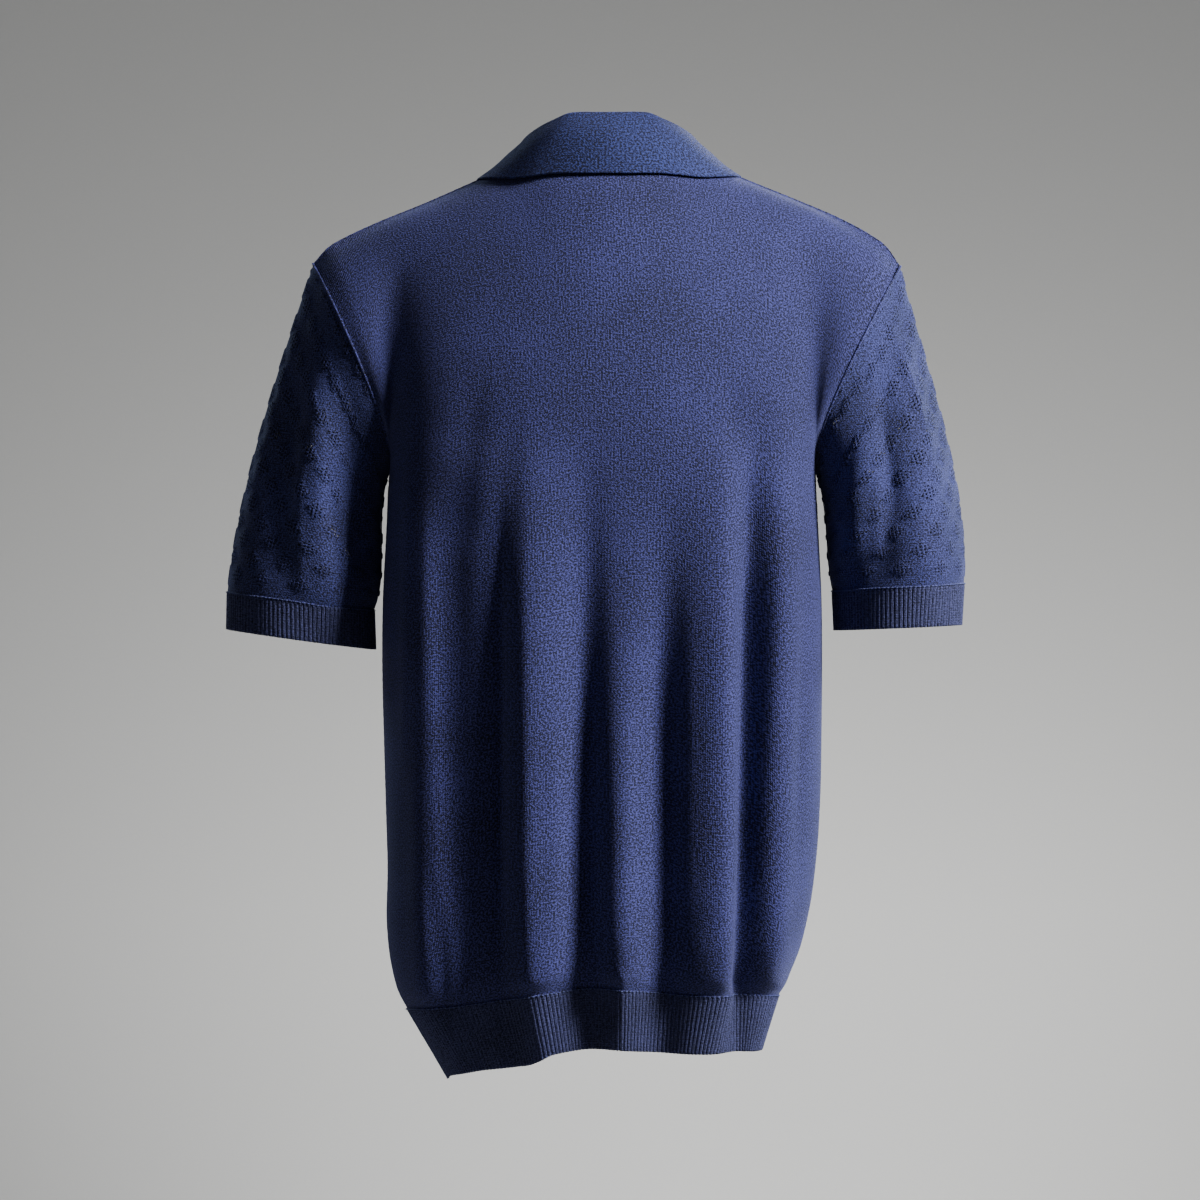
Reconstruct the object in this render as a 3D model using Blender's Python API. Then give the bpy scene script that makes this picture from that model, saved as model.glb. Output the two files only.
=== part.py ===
"""A short-sleeved knitted polo shirt in the hollow shape it hangs in when worn.

The wearer faces -Y, so the back panel is on the +Y side. The origin is at the middle of the neck
base. Every piece of cloth is a wall built on a grid of points, its middle surface: rows run up
the garment and columns run round it. Neighbouring pieces share the points of their seam, and each
is drawn back from it by half of the seam gap.
"""

import math
from collections import namedtuple

import bmesh
import bpy
import numpy as np
from mathutils import Vector
from mathutils.bvhtree import BVHTree

MM = 0.001

# Cloth
PANEL_WALL = 1.2 * MM
COLLAR_WALL = 1.6 * MM
BAND_WALL = 1.3 * MM
RIB_HEIGHT = 0.7 * MM
SEAM_GAP = 0.3 * MM

# Levels and places of the body, from the neck base
ARMPIT_Z = -252 * MM
NECK_X = -4 * MM
NECK_HALF_WIDTH = 75 * MM
NECK_BACK = (54 * MM, -9 * MM)
NECK_FRONT = (-66 * MM, -76 * MM)
NECK_SIDE_Z = {1: -3 * MM, -1: -1 * MM}
SEAM_FORWARD = -4 * MM
SHOULDER_TIP = {1: (235.5 * MM, -84 * MM), -1: (-240 * MM, -86 * MM)}
BODY_SQUARENESS = {1: 2.9, -1: 2.5}

# Grid of the panels
HALF_COLUMNS = 22
NECK_COLUMNS = 8
LOWER_ROWS = 10
UPPER_ROWS = 11

# Front opening: the bands fill a slot in the front panel, drops are from the neckline
SLOT_HALF_WIDTH = 15 * MM
SLOT_BOTTOM_Z = -236 * MM
BAND_LIFT = 0.4 * MM
BUTTON_DIAMETER = 11.4 * MM
BUTTON_THICKNESS = 2.6 * MM
BUTTON_DROPS = (26 * MM, 82 * MM, 138 * MM)
BUTTON_STEPS = 18
THREAD_HOLE_RADIUS = 0.8 * MM
THREAD_HOLE_PLACE = 1.55 * MM

# Sleeves and cuffs
SLEEVE_ROWS = 10
CUFF_PARTS = 5
HEM_PARTS = 3

# Shoulder seam, as shares of the way from the neck to the tip and of the drop between them.
ShoulderPlace = namedtuple("ShoulderPlace", "along drop_left drop_right")
SHOULDER_LINE = (
    ShoulderPlace(0.00, 0.000, 0.000),
    ShoulderPlace(0.22, 0.195, 0.175),
    ShoulderPlace(0.45, 0.400, 0.350),
    ShoulderPlace(0.70, 0.605, 0.550),
    ShoulderPlace(0.88, 0.780, 0.740),
    ShoulderPlace(0.97, 0.910, 0.890),
    ShoulderPlace(1.00, 1.000, 1.000),
)

# Handles of the curves that carry the body's columns from the armpit level up to their tops:
# how far (x, y, z) a curve leaves from its low end, or reaches back from its high end.
LEAVE_BACK = np.array([0.0, 3.0, 105.0]) * MM
LEAVE_FRONT = np.array([0.0, -4.0, 85.0]) * MM
LEAVE_ARMPIT = np.array([10.0, 74.0, 20.0]) * MM
REACH_NECK_BACK = np.array([0.0, 94.0, -34.0]) * MM
REACH_NECK_FRONT = np.array([0.0, -92.0, -45.0]) * MM
REACH_SHOULDER = np.array([0.0, 72.0, -12.0]) * MM
REACH_SHOULDER_LESS = 20 * MM
REACH_TIP = np.array([28.0, 84.0, -46.0]) * MM

# Half outline of the body below the armpits, one row for each level.
# share: 0 at the seam with the hem band, 1 at the armpit.
BodyLevel = namedtuple("BodyLevel", "share left right back front")
BODY_LEVELS = (
    BodyLevel(0.00, 158.5, -136.5, 107.0, -107.0),
    BodyLevel(0.03, 165.5, -145.0, 114.5, -114.0),
    BodyLevel(0.07, 170.5, -154.5, 118.5, -116.5),
    BodyLevel(0.14, 175.0, -163.5, 120.5, -118.0),
    BodyLevel(0.24, 174.5, -170.5, 120.5, -118.5),
    BodyLevel(0.42, 176.5, -175.0, 119.5, -119.5),
    BodyLevel(0.68, 179.0, -176.0, 117.0, -121.5),
    BodyLevel(1.00, 173.0, -170.5, 115.0, -122.0),
)

# Seam and lower edge of the hem band. around: -1 and 1 at the side seams, 0 at the middle.
HemPlace = namedtuple("HemPlace", "around seam_back edge_back seam_front edge_front")
HEM_LINE = (
    HemPlace(-1.00, -676.0, -718.0, -676.0, -718.0),
    HemPlace(-0.55, -668.0, -714.5, -675.0, -720.0),
    HemPlace(-0.28, -666.0, -713.5, -673.0, -720.0),
    HemPlace(0.00, -660.5, -709.5, -672.0, -719.0),
    HemPlace(0.20, -664.0, -712.5, -674.0, -721.0),
    HemPlace(0.32, -669.0, -722.5, -675.0, -723.0),
    HemPlace(0.55, -677.0, -729.0, -679.0, -728.0),
    HemPlace(1.00, -687.0, -744.0, -687.0, -744.0),
)
HEM_EDGE_LEFT, HEM_EDGE_RIGHT, HEM_EDGE_DEPTH = 126 * MM, -127.5 * MM, 95 * MM
HEM_EDGE_FOLD_SHARE = 0.55

# Soft folds that hang from the shoulder blades and the chest. x_high and z_high: where a fold
# starts; x_low: where it meets the hem; depth: out (+) or in (-); to_left and to_right: how far
# it spreads to either side; fade: the length over which it deepens.
Fold = namedtuple("Fold", "x_high z_high x_low depth to_left to_right fade")
BACK_FOLDS = (
    Fold(58, -170, 56, 13.0, 14, 24, 260),
    Fold(86, -240, 84, -8.0, 20, 12, 260),
    Fold(13, -190, 16, -12.5, 16, 15, 260),
    Fold(-15, -330, -14, 10.0, 16, 15, 220),
    Fold(-48, -240, -48, -16.0, 17, 16, 260),
    Fold(-90, -190, -94, 12.0, 24, 12, 240),
    Fold(-122, -175, -112, -19.0, 13, 12, 200),
    Fold(-146, -190, -130, 8.0, 13, 15, 200),
    Fold(122, -180, 112, -7.0, 18, 16, 240),
    Fold(146, -200, 138, 6.0, 13, 12, 240),
)
FRONT_FOLDS = (
    Fold(-120, -190, -106, 10.0, 18, 14, 240),
    Fold(-88, -230, -78, -13.0, 16, 15, 250),
    Fold(-48, -280, -44, 8.0, 18, 18, 260),
    Fold(8, -300, 2, -10.0, 20, 18, 260),
    Fold(52, -250, 48, 10.0, 17, 20, 260),
    Fold(90, -210, 84, -13.0, 15, 17, 240),
    Fold(124, -200, 116, 10.0, 14, 16, 240),
)

# Cuff ovals: x of the inner and the outer end, half depth from front to back, z at both ends.
CuffEnd = namedtuple("CuffEnd", "inner outer half_depth z_inner z_outer")
CUFF_SEAM = {
    1: CuffEnd(186.5, 305.0, 58.5, -364.5, -350.0),
    -1: CuffEnd(-185.5, -291.5, 68.0, -349.0, -343.0),
}
CUFF_EDGE = {
    1: CuffEnd(185.5, 305.5, 58.0, -396.5, -380.0),
    -1: CuffEnd(-187.0, -289.5, 66.5, -381.0, -376.5),
}
CUFF_CENTRE_Y = -4 * MM

# Directions, for each unit down, in which a sleeve leaves the armhole and comes to its cuff.
SLEEVE_UNDERARM = 0.50
SLEEVE_FLARE = {1: 0.33, -1: 0.25}
SLEEVE_FLATTEN = 0.16
SLEEVE_LEAN = {1: 0.26, -1: 0.10}
SLEEVE_GATHER = 0.16
SLEEVE_PULL = 0.95

# Sleeve folds. angle: 0 faces the body, 90 the back, 180 outward, 270 the front, in degrees.
SleeveFold = namedtuple("SleeveFold", "angle_high angle_low depth spread start end")
SLEEVE_FOLDS = {
    1: (
        SleeveFold(125, 66, 6.5, 20, 0.15, 1.15),
        SleeveFold(84, 34, -6.0, 20, 0.05, 0.85),
        SleeveFold(150, 104, -3.5, 18, 0.20, 1.00),
        SleeveFold(262, 285, -5.0, 24, 0.10, 0.95),
    ),
    -1: (
        SleeveFold(152, 108, 4.5, 20, 0.10, 1.10),
        SleeveFold(128, 62, -6.5, 19, 0.10, 1.05),
        SleeveFold(90, 34, 4.0, 18, 0.20, 0.90),
        SleeveFold(262, 285, -5.0, 24, 0.10, 0.95),
    ),
}

# Collar, from the middle of the back (0) to its front ends (1).
CollarPlace = namedtuple("CollarPlace", "around stand lean spread drop swing bulge")
COLLAR_PLACES = (
    CollarPlace(0.00, 39, 8, 20, 42.5, 0, 4),
    CollarPlace(0.15, 39, 8, 21, 43, 0, 3),
    CollarPlace(0.27, 32, 9, 26, 39, 0, 1),
    CollarPlace(0.40, 22, 10, 32, 29, 1, -2),
    CollarPlace(0.50, 17, 9, 34, 28, 2, -1),
    CollarPlace(0.62, 17, 6, 36, 31, 4, 0),
    CollarPlace(0.80, 20, 5, 33, 46, 14, 2),
    CollarPlace(1.00, 20, 5, 24, 60, 38, 2),
)
FOLD_RADIUS = 2.6 * MM
COLLAR_END_X = 2 * MM
COLLAR_CLEARANCE = 3.7 * MM

COLOURS = {
    "plain_knit": (0.030, 0.038, 0.110, 1.0),
    "openwork_knit": (0.034, 0.042, 0.118, 1.0),
    "rib_knit": (0.022, 0.027, 0.075, 1.0),
    "collar_knit": (0.029, 0.038, 0.108, 1.0),
    "button_resin": (0.010, 0.012, 0.030, 1.0),
}


def smooth(low, high, value):
    share = np.clip((np.asarray(value, float) - low) / (high - low), 0.0, 1.0)
    return share * share * (3.0 - 2.0 * share)


def through(places, values, at):
    """A smooth curve through the values of a table's column, read at one or more places."""
    places, values, at = (np.asarray(a, float) for a in (places, values, at))
    steps = np.diff(values) / np.diff(places)
    same_way = steps[:-1] * steps[1:] > 0
    middle = np.where(same_way, 2 * steps[:-1] * steps[1:] / np.where(same_way, steps[:-1] + steps[1:], 1), 0)
    slopes = np.concatenate([steps[:1], middle, steps[-1:]])
    row = np.clip(np.searchsorted(places, at) - 1, 0, len(places) - 2)
    width = places[row + 1] - places[row]
    t = np.clip((at - places[row]) / width, 0.0, 1.0)
    start = values[row] * (1 + 2 * t) * (1 - t) ** 2 + slopes[row] * width * t * (1 - t) ** 2
    end = values[row + 1] * t * t * (3 - 2 * t) - slopes[row + 1] * width * t * t * (1 - t)
    return start + end


def column(table, name, at, key="share"):
    return through([getattr(row, key) for row in table], [getattr(row, name) for row in table], at)


def unit(vectors):
    return vectors / np.maximum(np.linalg.norm(vectors, axis=-1, keepdims=True), 1e-12)


def quarter_curve(half_width, depth, squareness, shares):
    """Points at equal steps along a quarter of a squarish oval, from its middle to its side."""
    angle = np.linspace(0.0, math.pi / 2, 241)
    x = half_width * np.sin(angle) ** (2 / squareness)
    y = depth * np.cos(angle) ** (2 / squareness)
    length = np.concatenate([[0.0], np.cumsum(np.hypot(np.diff(x), np.diff(y)))])
    return np.interp(shares * length[-1], length, x), np.interp(shares * length[-1], length, y)


def grid_normals(points, ring=False):
    """Normals of a grid whose columns run to +X on the back, or round a ring."""
    if ring:
        across = np.roll(points, -1, axis=1) - np.roll(points, 1, axis=1)
    else:
        across = np.gradient(points, axis=1)
    return unit(np.cross(np.gradient(points, axis=0), across))


# ---- Middle surfaces ----


def half_oval(left, right, depth, side):
    """A dense outline of one panel's row seen from above, from its right seam to its left one."""
    middle = (left + right) / 2
    x, y = quarter_curve((left - right) / 2, abs(depth), BODY_SQUARENESS[side], np.linspace(0.0, 1.0, 161))
    return np.stack([np.concatenate([middle - x[:0:-1], middle + x]), side * np.concatenate([y[:0:-1], y])], axis=1)


def places_along(curve, side):
    """Lengths along a row at which its columns lie; the front has one at each edge of its slot."""
    run = np.concatenate([[0.0], np.cumsum(np.linalg.norm(np.diff(curve, axis=0), axis=1))])
    middle = np.interp(0.0, curve[:, 0], run)
    halves = []
    for hand, end in ((-1, 0.0), (1, run[-1])):
        at = middle + (end - middle) * np.linspace(0.0, 1.0, HALF_COLUMNS + 1)
        if side < 0:
            slot = np.interp(hand * SLOT_HALF_WIDTH, curve[:, 0], run)
            inner = slice(1, NECK_COLUMNS + 1)
            at[inner] = np.linspace(slot, at[NECK_COLUMNS], NECK_COLUMNS)
        halves.append(at)
    return np.concatenate([halves[0][:0:-1], halves[1]]), run, middle


def row_of(curve, side):
    """The points of a row's columns, and how far each lies round the panel, from -1 to 1."""
    at, run, middle = places_along(curve, side)
    points = np.stack([np.interp(at, run, curve[:, i]) for i in range(curve.shape[1])], axis=1)
    around = np.where(at < middle, (at - middle) / middle, (at - middle) / (run[-1] - middle))
    return points, around


def section(share, side):
    """One row of a panel below the armpit, from the right side seam to the left one."""
    left = column(BODY_LEVELS, "left", share) * MM
    right = column(BODY_LEVELS, "right", share) * MM
    depth = column(BODY_LEVELS, "back" if side > 0 else "front", share) * MM
    flat, around = row_of(half_oval(left, right, depth, side), side)
    low = column(HEM_LINE, "seam_back" if side > 0 else "seam_front", around, "around") * MM
    return np.column_stack([flat, low + share * (ARMPIT_Z - low)])


def neckline(side):
    """A dense line along one panel's neckline, from its right end to its left one."""
    depth, middle_z = NECK_BACK if side > 0 else NECK_FRONT
    angle = np.linspace(-math.pi / 2, math.pi / 2, 321)
    side_z = np.where(angle < 0, NECK_SIDE_Z[-1], NECK_SIDE_Z[1])
    drop = np.cos(angle) ** (1.0 if side > 0 else 1.35)
    return np.stack([NECK_X + NECK_HALF_WIDTH * np.sin(angle), depth * np.cos(angle),
                     side_z + (middle_z - side_z) * drop], axis=1)


def top_edge(side):
    """The neckline and both shoulder seams, from the right tip to the left one."""
    curve = neckline(side)
    run = np.concatenate([[0.0], np.cumsum(np.linalg.norm(np.diff(curve, axis=0), axis=1))])
    at = np.linspace(0.0, run[-1], 2 * NECK_COLUMNS + 1)
    if side < 0:
        slot = np.interp([-SLOT_HALF_WIDTH, 0.0, SLOT_HALF_WIDTH], curve[:, 0], run)
        at = np.concatenate([np.linspace(0.0, slot[0], NECK_COLUMNS), slot[1:2],
                             np.linspace(slot[2], run[-1], NECK_COLUMNS)])
    neck = np.stack([np.interp(at, run, curve[:, i]) for i in range(3)], axis=1)
    seams = []
    for hand, start, name in ((-1, neck[0], "drop_right"), (1, neck[-1], "drop_left")):
        tip_x, tip_z = SHOULDER_TIP[hand]
        t = np.linspace(0.0, 1.0, HALF_COLUMNS - NECK_COLUMNS + 1)[1:]
        drop = column(SHOULDER_LINE, name, t, "along")
        seams.append(np.stack([start[0] + (tip_x - start[0]) * t, SEAM_FORWARD * t,
                               start[2] + (tip_z - start[2]) * drop], axis=1))
    return np.concatenate([seams[0][::-1], neck, seams[1]])


def upper_rows(base, side):
    """Rows from the armpit level up to the neckline and the shoulder seams, as smooth curves."""
    top = top_edge(side)
    around = abs(np.linspace(-1.0, 1.0, 2 * HALF_COLUMNS + 1))
    neck = NECK_COLUMNS / HALF_COLUMNS
    to_side = smooth(0.70, 1.0, around)[:, None]
    outer = smooth(neck, 0.9, around)[:, None]
    inward_low = np.stack([-np.sign(base[:, 0]), np.full(len(base), side), np.ones(len(base))], axis=1)
    inward_high = np.stack([-np.sign(top[:, 0]), np.full(len(top), side), np.ones(len(top))], axis=1)
    leave = (LEAVE_BACK if side > 0 else LEAVE_FRONT) * (1 - 0.18 * outer)
    low_handle = base + (1 - to_side) * leave + to_side * LEAVE_ARMPIT * inward_low
    on_shoulder = smooth(0.0, neck * 1.3, around)[:, None]
    at_neck = REACH_NECK_BACK if side > 0 else REACH_NECK_FRONT
    at_shoulder = (REACH_SHOULDER - np.array([0.0, 1.0, 0.0]) * REACH_SHOULDER_LESS * outer) * inward_high
    at_tip = REACH_TIP * inward_high
    reach = (1 - on_shoulder) * at_neck + on_shoulder * (1 - to_side) * at_shoulder + to_side * at_tip
    high_handle = top * np.array([1.0, 0.0, 1.0]) + reach
    below_neck_point = np.exp(-((around[1:-1] - neck) / 0.16) ** 2)[:, None]
    rows = []
    for t in np.linspace(0.0, 1.0, UPPER_ROWS + 1)[1:]:
        row = ((1 - t) ** 3 * base + 3 * t * (1 - t) ** 2 * low_handle
               + 3 * t * t * (1 - t) * high_handle + t ** 3 * top)
        for _ in range(round((1 - t) * 3 * UPPER_ROWS)):
            row[1:-1] += below_neck_point * (row[:-2] - 2 * row[1:-1] + row[2:]) / 4
        rows.append(row)
    return rows


def fold_depth(folds, x, z, low_z):
    """How far the folds move the cloth out at these places."""
    total = np.zeros_like(x)
    for fold in folds:
        share = np.clip((fold.z_high * MM - z) / (fold.z_high * MM - low_z), 0.0, 1.0)
        centre = (fold.x_high + (fold.x_low - fold.x_high) * share) * MM
        spread = np.where(x > centre, fold.to_left, fold.to_right) * MM
        grown = smooth(0.0, fold.fade * MM, fold.z_high * MM - z)
        total += fold.depth * MM * grown * np.exp(-((x - centre) / spread) ** 2)
    return total


def body_grid(side):
    shares = np.array([0.0, 0.03, 0.075, 0.15, 0.26, 0.38, 0.50, 0.62, 0.75, 0.88, 1.0])
    rows = [section(share, side) for share in shares]
    rows += upper_rows(rows[-1], side)
    points = np.array(rows)
    normals = grid_normals(points) * side
    level = normals.copy()
    level[:4, :, 2] *= np.array([0.0, 0.0, 0.3, 0.7])[:, None]
    level = unit(level)
    around = abs(np.linspace(-1.0, 1.0, 2 * HALF_COLUMNS + 1))
    loose = (1 - smooth(0.84, 1.0, around))[None, :]
    folds = BACK_FOLDS if side > 0 else FRONT_FOLDS
    depth = fold_depth(folds, points[..., 0], points[..., 2], points[0, :, 2][None, :]) * loose
    depth[0] *= 0.75
    return points + level * depth[..., None]


def ring_of(back, front, hand):
    """The armhole, from the armpit up the back to the shoulder tip and down the front."""
    edge = -1 if hand > 0 else 0
    up_back = back[LOWER_ROWS:, edge]
    down_front = front[LOWER_ROWS + 1:-1, edge][::-1]
    return np.concatenate([up_back, down_front])


def cuff_oval(end, angles, hand):
    inner, outer = end.inner * MM, end.outer * MM
    centre, half = (inner + outer) / 2, abs(outer - inner) / 2
    x = centre - hand * half * np.cos(angles)
    y = CUFF_CENTRE_Y + end.half_depth * MM * np.sin(angles)
    towards_outer = (1 - np.cos(angles)) / 2
    z = (end.z_inner + (end.z_outer - end.z_inner) * towards_outer) * MM
    return np.stack([x, y, z], axis=1)


def ring_angles(ring):
    """Angles round the cuff that the points of the armhole lead to."""
    length = np.linalg.norm(np.roll(ring, -1, axis=0) - ring, axis=1)
    run = np.concatenate([[0.0], np.cumsum(length)])
    back = run[: UPPER_ROWS + 1] / run[UPPER_ROWS] * math.pi
    front = math.pi * (1 + (run[UPPER_ROWS:-1] - run[UPPER_ROWS]) / (run[-1] - run[UPPER_ROWS]))
    return np.concatenate([back, front[1:]])


def sleeve_grid(ring, hand):
    angles = ring_angles(ring)
    end = cuff_oval(CUFF_SEAM[hand], angles, hand)
    length = np.linalg.norm(end - ring, axis=1)[:, None]
    outward = (1 - np.cos(angles)) / 2
    aside = hand * (SLEEVE_UNDERARM + (SLEEVE_FLARE[hand] - SLEEVE_UNDERARM) * outward)
    leave = np.stack([aside, -SLEEVE_FLATTEN * np.sin(angles), -np.ones_like(angles)], axis=1)
    arrive = unit(end.mean(axis=0) - end) * SLEEVE_GATHER + np.array([hand * SLEEVE_LEAN[hand], 0.0, -1.0])
    leave, arrive = unit(leave) * length * SLEEVE_PULL, unit(arrive) * length * SLEEVE_PULL
    rows = []
    for t in np.linspace(0.0, 1.0, SLEEVE_ROWS + 1):
        rows.append((2 * t ** 3 - 3 * t * t + 1) * ring + (t ** 3 - 2 * t * t + t) * leave
                    + (3 * t * t - 2 * t ** 3) * end + (t ** 3 - t * t) * arrive)
    points = np.array(rows)
    normals = grid_normals(points, ring=True)
    middle = points.mean(axis=1, keepdims=True)
    if ((points - middle) * normals).sum() < 0:
        normals = -normals
    along = np.linspace(0.0, 1.0, SLEEVE_ROWS + 1)[:, None]
    degrees = np.degrees(angles)[None, :]
    depth = np.zeros((SLEEVE_ROWS + 1, len(angles)))
    for fold in SLEEVE_FOLDS[hand]:
        place = fold.angle_high + (fold.angle_low - fold.angle_high) * along
        grown = smooth(fold.start, fold.start + 0.25, along) * (1 - smooth(fold.end - 0.2, fold.end, along))
        depth += fold.depth * MM * grown * np.exp(-((degrees - place) / fold.spread) ** 2)
    return points + normals * depth[..., None]


def hem_edge(panel_row, side):
    """The lower edge of the hem band under one panel."""
    flat, around = row_of(half_oval(HEM_EDGE_LEFT, HEM_EDGE_RIGHT, HEM_EDGE_DEPTH, side), side)
    z = column(HEM_LINE, "edge_back" if side > 0 else "edge_front", around, "around") * MM
    folds = BACK_FOLDS if side > 0 else FRONT_FOLDS
    loose = 1 - smooth(0.80, 1.0, abs(around))
    low = panel_row[:, 2]
    depth = fold_depth(folds, panel_row[:, 0], low, low) * loose * HEM_EDGE_FOLD_SHARE
    flat[:, 1] += side * depth
    return np.column_stack([flat, z])


def neckline_ring(back, front):
    """The seam of the collar, from the right end at the front, round the back, to the left end."""
    middle, neck = HALF_COLUMNS, NECK_COLUMNS
    right = front[-1, middle - neck + 1:middle][::-1]
    behind = back[-1, middle - neck:middle + neck + 1]
    left = front[-1, middle + 1:middle + neck][::-1]
    end_right = front[-1, middle] + (front[-1, middle - 1] - front[-1, middle]) * COLLAR_END_X / SLOT_HALF_WIDTH
    end_left = front[-1, middle] + (front[-1, middle + 1] - front[-1, middle]) * COLLAR_END_X / SLOT_HALF_WIDTH
    return np.concatenate([[end_right], right, behind, left, [end_left]])


def collar_grid(seam, body):
    """Stand, fold and fall of the collar over its seam; the fall is kept clear of the body."""
    count = len(seam)
    around = abs(np.linspace(-1.0, 1.0, count))
    tangent = unit(np.gradient(seam, axis=0))
    outward = unit((seam - np.array([NECK_X, 0.0, 0.0])) * np.array([1.0, 1.0, 0.0]))
    for _ in range(6):
        tangent[1:-1] = unit(tangent[:-2] + 2 * tangent[1:-1] + tangent[2:])
    up = unit(np.cross(outward, tangent))
    up *= np.sign(up[:, 2:3])

    def at(name):
        return column(COLLAR_PLACES, name, around, "around")[:, None] * MM

    hand = np.sign(np.linspace(-1.0, 1.0, count))[:, None]
    aside = np.array([[1.0, 0.0, 0.0]]) * hand
    stand_top = seam + up * at("stand") - outward * at("lean")
    crown = stand_top + (outward + up * 0.9) * FOLD_RADIUS
    fall_top = stand_top + outward * 2 * FOLD_RADIUS - up * 0.2 * FOLD_RADIUS
    edge = fall_top + outward * at("spread") - np.array([0.0, 0.0, 1.0]) * at("drop") + aside * at("swing")
    rows = [seam, (seam + stand_top) / 2, stand_top, crown, fall_top]
    for t in (1 / 3, 2 / 3, 1.0):
        rows.append(fall_top + (edge - fall_top) * t + outward * at("bulge") * math.sin(math.pi * t))
    rows = np.array(rows)
    for row in range(5, len(rows)):
        rows[row] = clear_of(rows[row], body, COLLAR_CLEARANCE)
    return rows


def surface_tree(grids):
    corners, faces = [], []
    for grid in grids:
        start = len(corners)
        corners += [Vector(p) for p in grid.reshape(-1, 3)]
        rows, columns = grid.shape[:2]
        for r in range(rows - 1):
            for c in range(columns - 1):
                a = start + r * columns + c
                faces.append((a, a + 1, a + columns + 1, a + columns))
    return BVHTree.FromPolygons(corners, faces)


def clear_of(points, tree, distance):
    """Moves points that lie nearer to the body than this distance straight out from it."""
    moved = points.copy()
    for i, point in enumerate(points):
        nearest, _, _, _ = tree.find_nearest(Vector(point))
        away = point - np.array(nearest)
        outside = np.array([nearest.x, nearest.y, 0.0]) - np.array([0.0, 0.0, -0.30])
        gap = np.linalg.norm(away) * (1 if np.dot(away, outside) > 0 else -1)
        if gap < distance:
            direction = unit(outside) if gap < 0.2 * MM else away / np.linalg.norm(away)
            moved[i] = np.array(nearest) + direction * distance
    return moved


# ---- Walls ----


class Panel:
    """A grid of middle points with the normals and the small shifts that its seams give it."""

    def __init__(self, name, points, outward, ring=False, missing=None):
        self.name = name
        self.points = points
        self.ring = ring
        self.normals = grid_normals(points, ring)
        if (self.normals * outward).sum() < 0:
            self.normals = -self.normals
        self.shift = np.zeros_like(points)
        self.missing = missing or set()
        self.ribs = np.zeros(points.shape[:2])


def seam(first, first_edge, first_in, second, second_edge, second_in):
    """Joins two edges: one shared normal at each point, and half of the gap to either side."""
    points = first.points[first_edge]
    normal = unit(first.normals[first_edge] + second.normals[second_edge])
    away = unit(first.points[first_in] - points) - unit(second.points[second_in] - points)
    along = unit(np.gradient(points, axis=0))
    across = np.cross(normal, along)
    across = unit(across) * np.sign((across * away).sum(axis=1))[:, None]
    first.shift[first_edge] += across * SEAM_GAP / 2
    second.shift[second_edge] -= across * SEAM_GAP / 2


def share_normals(panels):
    """Gives points that several panels have in common the mean of their normals."""
    sums = {}
    for panel in panels:
        for index in np.ndindex(panel.points.shape[:2]):
            key = tuple(np.round(panel.points[index] / (0.01 * MM)).astype(int))
            sums.setdefault(key, []).append((panel, index))
    for members in sums.values():
        if len({id(panel) for panel, _ in members}) < 2:
            continue
        mean = unit(sum(panel.normals[index] for panel, index in members))
        for panel, index in members:
            panel.normals[index] = mean


def ribbed(panel, parts):
    """Divides each column into narrower ones and raises every second one as a rib."""
    def divided(values):
        ends = np.roll(values, -1, axis=1) if panel.ring else values[:, 1:]
        starts = values if panel.ring else values[:, :-1]
        steps = [starts + (ends - starts) * k / parts for k in range(parts)]
        fine = np.stack(steps, axis=2).reshape(len(values), -1, 3)
        return fine if panel.ring else np.concatenate([fine, values[:, -1:]], axis=1)

    panel.points = divided(panel.points)
    panel.normals = unit(divided(panel.normals))
    panel.shift = divided(panel.shift)
    panel.ribs = np.zeros(panel.points.shape[:2])
    panel.ribs[:, 1::2] = RIB_HEIGHT


def wall(panel, thickness, material):
    """The closed wall of a panel: outer and inner points, and a rim round every open edge."""
    rows, columns = panel.points.shape[:2]
    middle = panel.points + panel.shift
    outer = middle + panel.normals * (thickness / 2 + panel.ribs)[..., None]
    inner = middle - panel.normals * thickness / 2
    corners = [tuple(p) for p in outer.reshape(-1, 3)] + [tuple(p) for p in inner.reshape(-1, 3)]
    last = rows * columns
    cells = []
    for r in range(rows - 1):
        for c in range(columns if panel.ring else columns - 1):
            if (r, c) not in panel.missing:
                d = (c + 1) % columns
                cells.append((r * columns + c, r * columns + d, (r + 1) * columns + d, (r + 1) * columns + c))
    a, b, c, _ = (outer.reshape(-1, 3)[i] for i in cells[len(cells) // 2])
    turned = np.dot(np.cross(b - a, c - b), panel.normals.reshape(-1, 3)[cells[len(cells) // 2][0]]) < 0
    if turned:
        cells = [cell[::-1] for cell in cells]
    edges = {}
    faces = []
    for p, q, r, s in cells:
        faces += [(p, q, r), (p, r, s), (last + r, last + q, last + p), (last + s, last + r, last + p)]
        for edge in ((p, q), (q, r), (r, s), (s, p)):
            edges[edge] = True
    for p, q in edges:
        if (q, p) not in edges:
            faces += [(q, p, last + p), (q, last + p, last + q)]
    used = sorted({i for face in faces for i in face})
    place = {old: new for new, old in enumerate(used)}
    mesh = bpy.data.meshes.new(panel.name)
    mesh.from_pydata([corners[i] for i in used], [], [tuple(place[i] for i in face) for face in faces])
    mesh.update()
    mesh.shade_smooth()
    mesh.set_sharp_from_angle(angle=math.radians(60))
    add_object(panel.name, mesh, material)


# ---- Scene ----


def add_object(name, mesh, material):
    obj = bpy.data.objects.new(name, mesh)
    mesh.materials.append(material)
    parts.objects.link(obj)
    return obj


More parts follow.
